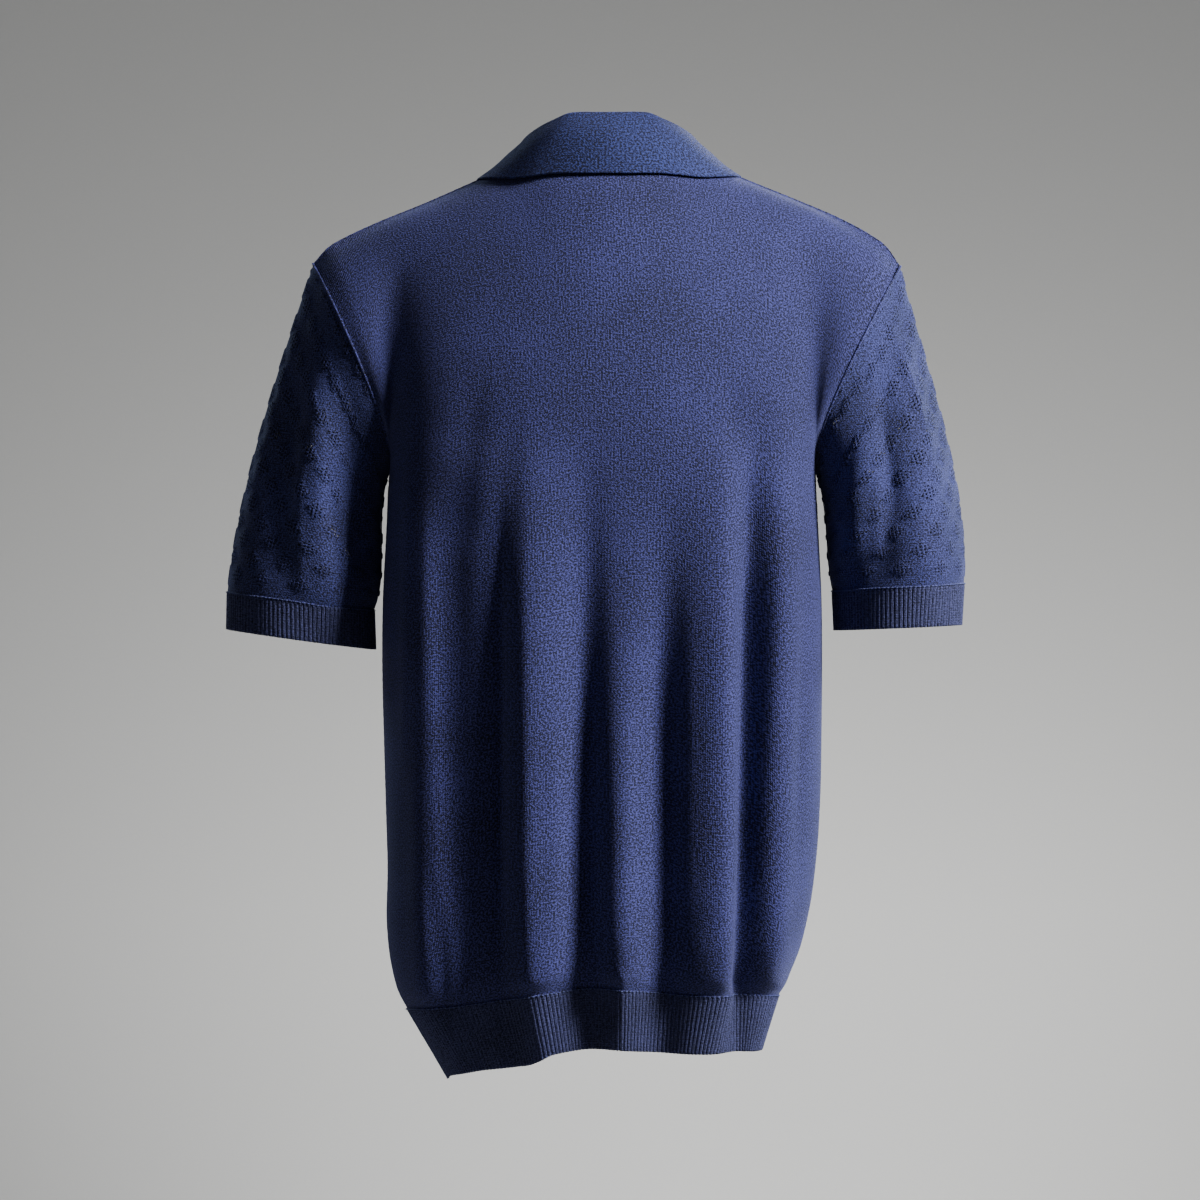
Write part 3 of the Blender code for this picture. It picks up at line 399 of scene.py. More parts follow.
plain_body = {side: coarse_body(side) for side in (1, -1)}
print("coarse body grids:", {side: grid.shape for side, grid in plain_body.items()})

# %% [markdown]
# ## From coarse to fine, with folds
# The fine grid has a cell about every two millimetres, the size of a stitch or two. Folds could come
# from a cloth simulation, but then they would not be the real shirt's own. So each is given in a table
# and moves the points along the surface normals. They fade out at the side seams, which hang straight.

# %% Fine body panels
PANEL_COLUMNS = {1: 216, -1: 224}
PANEL_ROWS = {1: 312, -1: 300}
STRAIGHT_SIDE = 0.84
RIB_PULL, RIB_PULL_REACH = 0.25, 0.03  # the rib draws the folds in by a quarter, just above it


def fold_depth(folds, x, z, low_z):
    total = np.zeros_like(x)
    for fold in folds:
        share = np.clip((fold.z_high * MM - z) / (fold.z_high * MM - low_z), 0.0, 1.0)
        centre = (fold.x_high + (fold.x_low - fold.x_high) * share) * MM
        spread = np.where(x > centre, fold.to_left, fold.to_right) * MM
        grown = smooth(0.0, fold.fade * MM, fold.z_high * MM - z)
        total += fold.depth * MM * grown * np.exp(-((x - centre) / spread) ** 2)
    return total


def crease_depth(creases, x, z):
    total = np.zeros_like(x)
    for crease in creases:
        share = (crease.z_high * MM - z) / ((crease.z_high - crease.z_low) * MM)
        centre = (crease.x_high + (crease.x_low - crease.x_high) * np.clip(share, 0, 1)) * MM
        spread = np.where(x > centre, crease.to_left, crease.to_right) * MM
        grown = smooth(0.0, 0.4, share) * (1 - smooth(0.75, 1.0, share))
        total += crease.depth * MM * grown * np.exp(-((x - centre) / spread) ** 2)
    return total


def fine_body(side):
    coarse = plain_body[side]
    up = run_along(coarse, 0).mean(axis=1)
    across = run_along(coarse, 1).mean(axis=0)
    up_at = np.linspace(0.0, up[-1], PANEL_ROWS[side] + 1)
    across_at = np.linspace(0.0, across[-1], PANEL_COLUMNS[side] + 1)
    fine = spline(coarse, up, up_at)
    fine = spline(fine.swapaxes(0, 1), across, across_at).swapaxes(0, 1)
    share = np.interp(up_at, up[:LOWER_ROWS + 1], LEVEL_SHARES)
    around = np.interp(across_at, across, np.linspace(-1.0, 1.0, 2 * HALF_COLUMNS + 1))
    normals = grid_normals(fine) * side
    upright = smooth(0.02, 0.24, share)[:, None, None]  # near the hem the folds move level
    level = normals * np.array([1.0, 1.0, 0.0]) + normals * np.array([0.0, 0.0, 1.0]) * upright
    folds, creases = (BACK_FOLDS, BACK_CREASES) if side > 0 else (FRONT_FOLDS, FRONT_CREASES)
    x, z = fine[..., 0], fine[..., 2]
    at_rib = 1 - smooth(0.0, RIB_PULL_REACH, share)
    depth = fold_depth(folds, x, z, z[0][None, :]) * (1 - RIB_PULL * at_rib)[:, None]
    depth += crease_depth(creases, x, z)
    depth *= 1 - smooth(STRAIGHT_SIDE, 1.0, abs(around))[None, :]
    fine = fine + unit(level) * depth[..., None]
    return {"points": fine, "normals": grid_normals(fine) * side, "around": around,
            "across": across_at, "up": run_along(fine, 0), "up_at": up_at}


body = {side: fine_body(side) for side in (1, -1)}
for side, panel in body.items():
    cell = panel["across"][1] / MM, panel["up_at"][1] / MM
    print("back" if side > 0 else "front", panel["points"].shape, "cell %.2f x %.2f mm" % cell)

# %% [markdown]
# ## Sleeves
# A sleeve is a tube from the armhole, a closed ring of front and back edges, to the oval top of the
# cuff. Every point of the ring runs on its own curve, so the tube flares from the shoulder and hangs
# straight over the cuff.


# %% Sleeve grids
SLEEVE_COLUMNS, SLEEVE_FINE_ROWS = 232, 160
FOLD_GROWS, FOLD_FADES = 0.25, 0.20


def coarse_armhole(hand):
    edge = -1 if hand > 0 else 0
    back_edge = plain_body[1][LOWER_ROWS:, edge]
    front_edge = plain_body[-1][LOWER_ROWS + 1:-1, edge]
    return np.concatenate([back_edge, front_edge[::-1]])


def ring_angles(ring):
    run = run_along(np.concatenate([ring, ring[:1]]), 0)
    tip = run[UPPER_ROWS]
    return np.where(run[:-1] <= tip, run[:-1] / tip * math.pi,
                    math.pi * (1 + (run[:-1] - tip) / (run[-1] - tip)))


def cuff_oval(end, angles, hand):
    inner, outer = end.inner * MM, end.outer * MM
    centre, half = (inner + outer) / 2, abs(outer - inner) / 2
    towards_outer = (1 - np.cos(angles)) / 2
    return np.stack([centre - hand * half * np.cos(angles),
                     CUFF_CENTRE_Y + end.half_depth * MM * np.sin(angles),
                     (end.z_inner + (end.z_outer - end.z_inner) * towards_outer) * MM], axis=1)


def closed(values, places, whole, at):
    """The spline round a ring: the ring is carried on a little past both its ends."""
    more = 4
    longer = np.concatenate([values[-more:], values, values[:more]])
    wrapped = np.concatenate([places[-more:] - whole, places, places[:more] + whole])
    return spline(longer, wrapped, at)


def fine_sleeve(hand):
    ring = coarse_armhole(hand)
    angles = ring_angles(ring)
    end = cuff_oval(CUFF_SEAM[hand], angles, hand)
    length = np.linalg.norm(end - ring, axis=1)[:, None]
    outward = (1 - np.cos(angles)) / 2
    aside = hand * (SLEEVE_UNDERARM + (SLEEVE_FLARE[hand] - SLEEVE_UNDERARM) * outward)
    leave = np.stack([aside, -SLEEVE_FLATTEN * np.sin(angles), -np.ones_like(angles)], axis=1)
    arrive = unit(end.mean(axis=0) - end) * SLEEVE_GATHER
    arrive += np.array([hand * SLEEVE_LEAN[hand], 0.0, -1.0])
    leave, arrive = unit(leave) * length * SLEEVE_PULL, unit(arrive) * length * SLEEVE_PULL
    t = np.linspace(0.0, 1.0, SLEEVE_FINE_ROWS + 1)[:, None, None]
    tube = ((2 * t ** 3 - 3 * t * t + 1) * ring + (t ** 3 - 2 * t * t + t) * leave
            + (3 * t * t - 2 * t ** 3) * end + (t ** 3 - t * t) * arrive)
    steps = np.linalg.norm(np.roll(tube, -1, axis=1) - tube, axis=-1).mean(axis=0)
    run = np.concatenate([[0.0], np.cumsum(steps)])
    at = np.linspace(0.0, run[-1], SLEEVE_COLUMNS + 1)[:-1]
    tube = closed(tube.swapaxes(0, 1), run[:-1], run[-1], at).swapaxes(0, 1)
    degrees = np.interp(at, run, np.degrees(np.concatenate([angles, [2 * math.pi]])))
    along = np.linspace(0.0, 1.0, SLEEVE_FINE_ROWS + 1)[:, None]
    depth = np.zeros(tube.shape[:2])
    for fold in SLEEVE_FOLDS[hand]:
        place = fold.angle_high + (fold.angle_low - fold.angle_high) * along
        grown = smooth(fold.start, fold.start + FOLD_GROWS, along)
        grown = grown * (1 - smooth(fold.end - FOLD_FADES, fold.end, along))
        depth += fold.depth * MM * grown * np.exp(-((degrees - place) / fold.spread) ** 2)
    points = tube + outwards(tube) * depth[..., None]
    return {"points": points, "normals": outwards(points), "degrees": degrees,
            "across": np.append(at, run[-1]), "up": run_along(points[::-1], 0)[::-1]}


def outwards(points):
    normals = grid_normals(points, ring=True)
    middle = points.mean(axis=1, keepdims=True)
    return normals * np.sign(((points - middle) * normals).sum())


sleeves = {hand: fine_sleeve(hand) for hand in (1, -1)}
for hand, panel in sleeves.items():
    print("sleeve", hand, panel["points"].shape, "round %.0f mm" % (panel["across"][-1] / MM))

# %% [markdown]
# ## Eyelets
# An eyelet is the small round hole that a transferred stitch leaves in openwork. It could be a dark
# spot in the material, but light passes through real ones, so each is cut: its cell of the grid
# becomes a rim of four faces about a hole, and the cloth round it swells a little. The rim faces are
# also painted darker in the knit materials, as painted shade inside the hole.

# %% Eyelet helper
HOLE_INSET = 0.40
HOLE_SINK = 0.7 * MM
RIM_RISE = 0.8 * MM


def cell_corners(r, c, columns):
    d = (c + 1) % columns
    return np.stack([r * columns + c, r * columns + d, (r + 1) * columns + d, (r + 1) * columns + c], axis=1)


def cell_map(r, c, across, up):
    d = (c + 1) % up.shape[1]
    places = ((across[c], up[r, c]), (across[c + 1], up[r, d]),
              (across[c + 1], up[r + 1, d]), (across[c], up[r + 1, c]))
    return np.stack([np.stack(place, axis=1) for place in places], axis=1)


def towards_middle(values):
    return values + (values.mean(axis=1, keepdims=True) - values) * HOLE_INSET


def rims(cells, maps, corners, normals, start):
    """Four faces round each hole, with the points that the holes add."""
    inner = towards_middle(corners[cells]) - normals[cells[:, :1]] * HOLE_SINK
    inner_map = towards_middle(maps)
    index = start + np.arange(inner.shape[0] * 4).reshape(-1, 4)

    def four(outer, hole):
        around = [outer, np.roll(outer, -1, axis=1), np.roll(hole, -1, axis=1), hole]
        return np.stack(around, axis=2).reshape((-1, 4) + outer.shape[2:])

    return inner.reshape(-1, 3), four(cells, index), four(maps, inner_map)


# %% [markdown]
# ## Meshes from grids
# One helper turns a grid of points into a mesh, which no primitive could give: the shape is all in
# the grid. Its UV map is the flat knitting in metres, measured across the stitches and up from the
# cast-on edge, so a stitch has the same size on every piece.

# %% Mesh helper
def new_object(name, corners, faces):
    mesh = bpy.data.meshes.new(name)
    mesh.from_pydata(np.asarray(corners).tolist(), [], [list(face) for face in faces])
    obj = bpy.data.objects.new(name, mesh)
    bpy.context.scene.collection.objects.link(obj)
    return obj


def knitted(name, points, normals, across, up, ring=False, eyelets=()):
    rows, columns = points.shape[:2]
    solid = np.ones((rows - 1, columns if ring else columns - 1), bool)
    hole_r, hole_c = np.array(sorted(eyelets), int).reshape(-1, 2).T
    solid[hole_r, hole_c] = False
    swollen = points.copy()
    for r in (hole_r, hole_r + 1):
        for c in (hole_c, (hole_c + 1) % columns):
            swollen[r, c] = points[r, c] + normals[r, c] * RIM_RISE
    corners, away = swollen.reshape(-1, 3), normals.reshape(-1, 3)
    cells, maps = cell_corners(*np.nonzero(solid), columns), cell_map(*np.nonzero(solid), across, up)
    inner, rim, rim_map = rims(cell_corners(hole_r, hole_c, columns), cell_map(hole_r, hole_c, across, up),
                               corners, away, rows * columns)
    faces, spots = np.concatenate([cells, rim]), np.concatenate([maps, rim_map])
    a, b, _, d = corners[faces[0]]
    if np.dot(np.cross(b - a, d - a), away[faces[0, 0]]) < 0:
        faces, spots = faces[:, ::-1], spots[:, ::-1]
    obj = new_object(name, np.concatenate([corners, inner]), faces.tolist())
    flat_knit = obj.data.uv_layers.new(name="flat_knit")
    flat_knit.data.foreach_set("uv", spots.reshape(-1).astype(np.float32))
    # The rim faces are marked so that the knit materials darken them: painted shade inside the eyelets.
    in_rim = obj.data.attributes.new("eyelet", "FLOAT", "FACE")
    in_rim.data.foreach_set("value", (np.arange(len(faces)) >= len(cells)).astype(np.float32))
    obj.data.shade_smooth()
    print(name, len(faces), "cells,", len(hole_r), "eyelets")
    return obj


def give_wall(obj, thickness, offset):
    """Thickness from the Solidify modifier, as a real band or collar has."""
    wall = obj.modifiers.new("wall", "SOLIDIFY")
    wall.thickness, wall.offset = thickness, offset
    bpy.context.view_layer.objects.active = obj
    bpy.ops.object.modifier_apply(modifier=wall.name)


def finish(obj, replaced, material):
    obj.data.materials.append(material)
    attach(obj, "root")
    if replaced:
        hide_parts(*replaced)


# %% [markdown]
# ## Where the eyelets go
# The openwork is a lattice of small diamonds in staggered rows. A diamond is thirteen eyelets, every
# second cell of the grid each way, so that a bar of yarn stands between one eyelet and the next.

# %% Eyelet lattice
DIAMOND_STEP_ACROSS, DIAMOND_STEP_UP = 34.0 * MM, 30.0 * MM
FIRST_DIAMOND = 14 * MM
EYELET_STEP = 2
DIAMOND_REACH = 2
EDGE_CELLS = 3


def anywhere(u, v):
    return True


def diamond():
    """Steps from a diamond's middle to each of its thirteen eyelets."""
    reach = range(-DIAMOND_REACH, DIAMOND_REACH + 1)
    steps = [(a, b) for a in reach for b in reach if abs(a) + abs(b) <= DIAMOND_REACH]
    return [(a * EYELET_STEP, b * EYELET_STEP) for a, b in steps]


def eyelet_cells(across, up, keep=anywhere):
    middle_u = (across[:-1] + across[1:]) / 2
    columns = up.shape[1]
    diamonds_across = round(across[-1] / DIAMOND_STEP_ACROSS)
    step = across[-1] / diamonds_across
    found = set()
    for j in range(int(up.max() / DIAMOND_STEP_UP * 2) + 2):
        for i in range(diamonds_across + 1):
            c0 = int(np.searchsorted(across, (i + 0.5 * (j % 2)) * step)) - 1
            line = up[:, c0 % columns]
            flipped = line[0] > line[-1]
            upwards = line[::-1] if flipped else line
            r0 = int(np.searchsorted(upwards, FIRST_DIAMOND + j * DIAMOND_STEP_UP / 2)) - 1
            for c, r in ((c0 + a, r0 + b) for a, b in diamond()):
                inside = 1 <= c < len(middle_u) - 1 and EDGE_CELLS <= r < len(line) - 1 - EDGE_CELLS
                row = len(line) - 2 - r if flipped else r
                if inside and keep(middle_u[c], up[row, c % columns]):
                    found.add((row, c))
    return found


# %% [markdown]
# ## Colour
# Colours are picked as sRGB hex, as in a paint program, and turned to the linear values that the
# renderer works in. One helper adds a shader node with its settings and links.


# %% Material helpers
def colour(hex_value):
    channels = [int(hex_value[i:i + 2], 16) / 255 for i in (1, 3, 5)]
    return tuple(c / 12.92 if c <= 0.04045 else ((c + 0.055) / 1.055) ** 2.4 for c in channels) + (1.0,)


def add(tree, kind, settings=None, **links):
    """Adds a node; links give a socket's value, or another node's output."""
    node = tree.nodes.new(kind)
    for name, value in (settings or {}).items():
        setattr(node, name, value)
    for name, value in links.items():
        key = int(name[1:]) if name[1:].isdigit() else name.replace("_", " ")
        socket = node.inputs[key]
        if isinstance(value, bpy.types.NodeSocket):
            tree.links.new(value, socket)
        else:
            socket.default_value = value
    return node


def new_material(name):
    material = bpy.data.materials.new(name)
    material.use_nodes = True
    return material, material.node_tree, material.node_tree.nodes["Principled BSDF"]


def sums(tree, operation, first, second=0.0, third=0.0, clamp=False):
    settings = {"operation": operation, "use_clamp": clamp}
    return add(tree, "ShaderNodeMath", settings, i0=first, i1=second, i2=third).outputs[0]


def between(tree, share, dark, light):
    """The colour that lies `share` of the way from one to the other."""
    ends = {"i6": colour(dark), "i7": colour(light)}
    return add(tree, "ShaderNodeMix", {"data_type": "RGBA"}, i0=share, **ends).outputs[2]


def mottled(name, dark, light, scale, roughness):
    """A finish of two close tones in a fine, even grain, placed on the object itself."""
    material, tree, shader = new_material(name)
    place = add(tree, "ShaderNodeTexCoord").outputs["Object"]
    grain = add(tree, "ShaderNodeTexNoise", None, Vector=place, Scale=scale, Detail=2.0).outputs[0]
    tree.links.new(between(tree, grain, dark, light), shader.inputs["Base Color"])
    shader.inputs["Roughness"].default_value = roughness
    return material


# %% [markdown]
# ## Knitted yarn
# Plain knit is rows of small V-shaped loops. Fine-gauge cotton has a loop about 1.6 mm wide; it is
# drawn coarser here, so that it shows without flickering. The same loops are on the openwork, on the
# collar in a narrower gauge, and down the ribs. Yarn is matt, with a soft bloom of fibre ends at its
# edges, which sheen gives. Shade is painted into its colour: painted shade down between the loops, with
# the crowns lighter, and on the rim faces inside the eyelets. The pattern reads the flat knitting of
# each piece, so it follows the folds and bends with the ribs.

# %% Knit materials
LOOP_WIDTH = 2.3 * MM
LOOP_HEIGHT = 1.8 * MM
LOOP_SLANT = 1.5
LOOP_DEPTH = 0.30
# Noise scales count tufts in a metre of cloth. Fibre ends are 0.1 mm and are drawn 1.5 mm wide to
# show; courses wander over 17 mm; the dye is cloudy over 55 mm.
FIBRES, COURSE_WANDER, DYE_CLOUDS = 680.0, 60.0, 18.0
RELIEF_DEPTH = 0.5 * MM
# How far painted shade darkens the rim faces inside the eyelets.
EYELET_SHADE = 1.5


def noise(tree, place, scale, detail):
    flat = {"noise_dimensions": "2D"}
    return add(tree, "ShaderNodeTexNoise", flat, Vector=place, Scale=scale, Detail=detail).outputs[0]


def loop_pattern(tree, place, width, height):
    """One at the crown of each leg of a loop, and zero between the loops."""
    apart = add(tree, "ShaderNodeSeparateXYZ", None, Vector=place)
    wander = noise(tree, place, COURSE_WANDER, 0.0)
    u = sums(tree, "DIVIDE", apart.outputs[0], width)
    u = sums(tree, "ADD", u, sums(tree, "MULTIPLY", wander, 0.5))
    v = sums(tree, "DIVIDE", apart.outputs[1], height)
    leg = sums(tree, "ABSOLUTE", sums(tree, "SUBTRACT", sums(tree, "FRACT", u), 0.5))
    slanted = sums(tree, "SUBTRACT", v, sums(tree, "MULTIPLY", leg, LOOP_SLANT))
    wave = sums(tree, "SINE", sums(tree, "MULTIPLY", slanted, 2 * math.pi))
    crown = sums(tree, "SINE", sums(tree, "MULTIPLY", leg, 2 * math.pi))
    depth = sums(tree, "MULTIPLY_ADD", wave, LOOP_DEPTH, 1 - LOOP_DEPTH)
    return sums(tree, "MULTIPLY", crown, depth, clamp=True)


def knit(name, yarn, shade, width, height, relief, roughness, grain=4.4):
    material, tree, shader = new_material(name)
    place = add(tree, "ShaderNodeUVMap", {"uv_map": "flat_knit"}).outputs[0]
    loops = loop_pattern(tree, place, width, height)
    fibres, clouds = (noise(tree, place, scale, 1.0) for scale in (FIBRES, DYE_CLOUDS))
    inside = add(tree, "ShaderNodeAttribute", {"attribute_name": "eyelet"}).outputs["Fac"]
    tone = sums(tree, "MULTIPLY_ADD", fibres, grain, -grain / 2)
    # Painted shade: the rim faces inside the eyelets are darkened.
    tone = sums(tree, "SUBTRACT", tone, sums(tree, "MULTIPLY", inside, EYELET_SHADE))
    # Painted shade: the colour is lighter on the loops' crowns and darker down between the loops.
    tone = sums(tree, "ADD", sums(tree, "MULTIPLY", loops, 0.8), tone)
    tone = sums(tree, "ADD", tone, sums(tree, "MULTIPLY_ADD", clouds, 0.5, -0.25), clamp=True)
    tree.links.new(between(tree, tone, shade, yarn), shader.inputs["Base Color"])
    raised = sums(tree, "ADD", loops, sums(tree, "MULTIPLY", fibres, 2.0))
    bump = add(tree, "ShaderNodeBump", None, Strength=relief, Distance=RELIEF_DEPTH, Height=raised)
    tree.links.new(bump.outputs[0], shader.inputs["Normal"])
    shader.inputs["Roughness"].default_value = roughness
    shader.inputs["Sheen Weight"].default_value = 0.35
    shader.inputs["Sheen Roughness"].default_value = 0.45
    shader.inputs["Sheen Tint"].default_value = colour("#9AA0D8")
    shader.inputs["Specular IOR Level"].default_value = 0.25
    return material


plain_knit = knit("cotton_plain_knit", "#404280", "#0E1027", LOOP_WIDTH, LOOP_HEIGHT, 0.7, 0.78)
openwork_knit = knit("cotton_openwork_knit", "#424785", "#090B1C", LOOP_WIDTH, LOOP_HEIGHT, 0.6, 0.78, 2.6)
rib_knit = knit("cotton_rib_knit", "#4A4D7C", "#0C0F22", LOOP_WIDTH * 0.9, LOOP_HEIGHT * 1.1, 0.6, 0.8, 1.8)
collar_knit = knit("cotton_collar_knit", "#36407C", "#0E112A", LOOP_WIDTH * 0.8, LOOP_HEIGHT, 0.6, 0.78)
print("knits:", [m.name for m in (plain_knit, openwork_knit, rib_knit, collar_knit)])

# %% [markdown]
# ## Back and front panels
# The back is plain knit. The front is openwork, as its edge and the small eyelets behind the back
# show, apart from a plain margin along the placket, where a real one is kept firm too.

# %% Back and front
panel = body[1]
back = knitted("back_knit", panel["points"], panel["normals"], panel["across"], panel["up"])
finish(back, ["back"], plain_knit)

panel = body[-1]
PLAIN_MARGIN = 6 * MM
centre_u = np.interp(0.0, panel["points"][-1, :, 0], panel["across"])
middle_column = len(panel["across"]) // 2
slot_up = np.interp(SLOT_BOTTOM_Z, panel["points"][:, middle_column, 2], panel["up"][:, middle_column])


def beside_placket(u, v):
    return abs(u - centre_u) > SLOT_HALF_WIDTH + PLAIN_MARGIN or v < slot_up - PLAIN_MARGIN


front = knitted("front_knit", panel["points"], panel["normals"], panel["across"], panel["up"],
                eyelets=eyelet_cells(panel["across"], panel["up"], beside_placket))
finish(front, ["front"], openwork_knit)

# %% [markdown]
# ## Sleeves in openwork
# Each sleeve is knitted flat, with the same diamonds of eyelets, and joined under the arm. Here its
# grid is already a tube, so it is one mesh with no seam to hide.

# %% Sleeves
for hand, word in ((1, "left"), (-1, "right")):
    panel = sleeves[hand]
    cloth = knitted(f"sleeve_{word}_knit", panel["points"], panel["normals"], panel["across"],
                    panel["up"], ring=True, eyelets=eyelet_cells(panel["across"], panel["up"]))
    finish(cloth, [f"sleeve_{word}"], openwork_knit)

# %% [markdown]
# ## Ribbed bands
# One-by-one rib is a row of narrow ridges, 3.6 mm from one to the next, with a sharp groove between
# them. They are modelled, because their shadow is what tells rib from plain knit. The band is given
# its thickness by a Solidify modifier.

# %% Rib helpers
RIB_PITCH = 3.6 * MM  # real ribs are about 1.8 mm apart, and are drawn coarser so that they show
RIB_RISE = 1.0 * MM
RIB_STEPS = 8
RIB_ROUNDNESS = 0.6
RIB_AT_SEAM = 0.4
BAND_WALL = 1.3 * MM
HEM_ROWS, CUFF_ROWS = 22, 14


def rib_height(count):
    phase = (np.arange(count) % RIB_STEPS) / RIB_STEPS
    return RIB_RISE * (np.sin(math.pi * phase) ** RIB_ROUNDNESS - 0.5)


def band(name, top, bottom, ring, rows):
    """A ribbed band between two matching lines of points."""
    line = np.concatenate([top, top[:1]]) if ring else top
    run = run_along(line, 0)
    ribs = round(run[-1] / RIB_PITCH)
    at = np.linspace(0.0, run[-1], ribs * RIB_STEPS + 1)
    low = np.concatenate([bottom, bottom[:1]]) if ring else bottom
    upper, lower = spline(line, run, at), spline(low, run, at)
    if ring:
        upper, lower = upper[:-1], lower[:-1]
    t = np.linspace(0.0, 1.0, rows + 1)[:, None, None]
    points = lower + (upper - lower) * t
    normals = outwards(points) if ring else grid_normals(points)
    if not ring and (normals * (points * np.array([1.0, 1.0, 0.0]))).sum() < 0:
        normals = -normals
    rise = rib_height(points.shape[1])[None, :] * np.ones((rows + 1, 1))
    rise[-1] *= RIB_AT_SEAM
    points = points + normals * rise[..., None]
    obj = knitted(name, points, normals, at, run_along(points, 0), ring=ring)
    give_wall(obj, BAND_WALL, -0.4)
    return obj, ribs


def hem_bottom(side):
    panel = body[side]
    flat, around = row_of(half_oval(HEM_EDGE_LEFT, HEM_EDGE_RIGHT, HEM_EDGE_DEPTH, side), side)
    z = column(HEM_LINE, "edge_back" if side > 0 else "edge_front", around, "around") * MM
    coarse = np.column_stack([flat, z])
    run = run_along(plain_body[side], 1).mean(axis=0)
    fine = spline(coarse, run, panel["across"])
    top = spline(plain_body[side][0], run, panel["across"])
    folds = BACK_FOLDS if side > 0 else FRONT_FOLDS
    depth = fold_depth(folds, top[:, 0], top[:, 2], top[:, 2])
    depth = depth * (1 - smooth(0.80, 1.0, abs(panel["around"])))
    fine[:, 1] += side * depth * HEM_EDGE_FOLD_SHARE
    return fine


# %% [markdown]
# ## Hem band and cuffs
# The hem band is in two halves, back and front, and its lower edge keeps only part of the folds,
# since rib holds itself smooth. Each cuff is a ring that carries the sleeve's own folds down.

# %% Hem band and cuffs
bands = {}
for side, word in ((1, "back"), (-1, "front")):
    top = body[side]["points"][0]
    bands[word], ribs = band(f"hem_rib_{word}_knit", top, hem_bottom(side), False, HEM_ROWS)
    finish(bands[word], [f"hem_rib_{word}"], rib_knit)
    print("hem", word, ribs, "ribs")
for hand, word in ((1, "left"), (-1, "right")):
    panel = sleeves[hand]
    edge = cuff_oval(CUFF_EDGE[hand], np.radians(panel["degrees"]), hand)
    bands[word], ribs = band(f"cuff_{word}_knit", panel["points"][-1], edge, True, CUFF_ROWS)
    finish(bands[word], [f"cuff_{word}"], rib_knit)
    print("cuff", word, ribs, "ribs")

# %% [markdown]
# ## Collar
# A flat-knit collar stands up from the neckline, turns over on itself and falls on the shoulders.
# First come the seam line that it grows from, and two helpers that keep the fall just clear of the
# shoulders, because cloth that dips into other cloth shows at once.


# %% Collar seam and clearance
OUTWARD_RISE = 0.30  # the way out of the body is away from its axis, and this far up


def collar_seam():
    back_top, front_top = plain_body[1][-1], plain_body[-1][-1]
    middle, neck = HALF_COLUMNS, NECK_COLUMNS
    right = front_top[middle - neck + 1:middle][::-1]
    behind = back_top[middle - neck:middle + neck + 1]
    left = front_top[middle + 1:middle + neck][::-1]
    share = COLLAR_END_X / SLOT_HALF_WIDTH
    ends = [front_top[middle] + (front_top[middle + step] - front_top[middle]) * share for step in (-1, 1)]
    return np.concatenate([[ends[0]], right, behind, left, [ends[1]]])


def body_tree():
    corners, faces = [], []
    for side in (1, -1):
        grid = body[side]["points"][::3, ::3]
        start, columns = len(corners), grid.shape[1]
        corners += [Vector(p) for p in grid.reshape(-1, 3)]
        for r in range(grid.shape[0] - 1):
            for c in range(columns - 1):
                a = start + r * columns + c
                faces.append((a, a + 1, a + columns + 1, a + columns))
    return BVHTree.FromPolygons(corners, faces)


def clear_of(points, tree, distance, hug):
    """Points kept at a distance from the body; `hug` draws those further off towards it."""
    moved = points.copy()
    for i, point in enumerate(points):
        nearest = np.array(tree.find_nearest(Vector(point))[0])
        away = point - nearest
        outside = nearest * np.array([1.0, 1.0, 0.0]) + np.array([0.0, 0.0, OUTWARD_RISE])
        gap = np.linalg.norm(away) * (1 if np.dot(away, outside) > 0 else -1)
        if gap < distance:
            direction = unit(outside) if gap < 0.2 * MM else away / np.linalg.norm(away)
            moved[i] = nearest + direction * distance
        elif hug:
            moved[i] = point + (nearest + away / gap * distance - point) * hug
    return moved


# %% [markdown]
# ## Collar
# The collar's grid has the seam, the stand, the turn and the fall as rows, placed from the seam by
# the collar table. Its last rows hug the body, so the edge of the fall casts only a thin shadow.

# %% Collar
COLLAR_WALL = 1.5 * MM
COLLAR_COLUMNS, COLLAR_ROWS = 260, 72
HUG_OF_ROW = ((5, 0.0), (6, 0.25), (7, 0.85))


def collar_grid():
    seam = collar_seam()
    count = len(seam)
    hand = np.linspace(-1.0, 1.0, count)
    around = abs(hand)
    tangent = unit(np.gradient(seam, axis=0))
    outward = unit((seam - np.array([NECK_X, 0.0, 0.0])) * np.array([1.0, 1.0, 0.0]))
    for _ in range(6):
        tangent[1:-1] = unit(tangent[:-2] + 2 * tangent[1:-1] + tangent[2:])
    up = unit(np.cross(outward, tangent))
    up *= np.sign(up[:, 2:3])

    def at(name):
        return column(COLLAR_PLACES, name, around, "around")[:, None] * MM

    aside = np.array([[1.0, 0.0, 0.0]]) * np.sign(hand)[:, None]
    stand_top = seam + up * at("stand") - outward * at("lean")
    crown = stand_top + (outward + up * 0.9) * FOLD_RADIUS
    fall_top = stand_top + outward * 2 * FOLD_RADIUS - up * 0.2 * FOLD_RADIUS
    edge = fall_top + outward * at("spread") - np.array([0.0, 0.0, 1.0]) * at("drop") + aside * at("swing")
    rows = [seam, (seam + stand_top) / 2, stand_top, crown, fall_top]
    for t in (1 / 3, 2 / 3, 1.0):
        rows.append(fall_top + (edge - fall_top) * t + outward * at("bulge") * math.sin(math.pi * t))
    tree = body_tree()
    for row, hug in HUG_OF_ROW:
        rows[row] = clear_of(rows[row], tree, COLLAR_CLEARANCE, hug)
    coarse = np.array(rows)
    up_run, across_run = run_along(coarse, 0).mean(axis=1), run_along(coarse, 1).mean(axis=0)
    fine = spline(coarse, up_run, np.linspace(0.0, up_run[-1], COLLAR_ROWS + 1))
    across = np.linspace(0.0, across_run[-1], COLLAR_COLUMNS + 1)
    return spline(fine.swapaxes(0, 1), across_run, across).swapaxes(0, 1), across


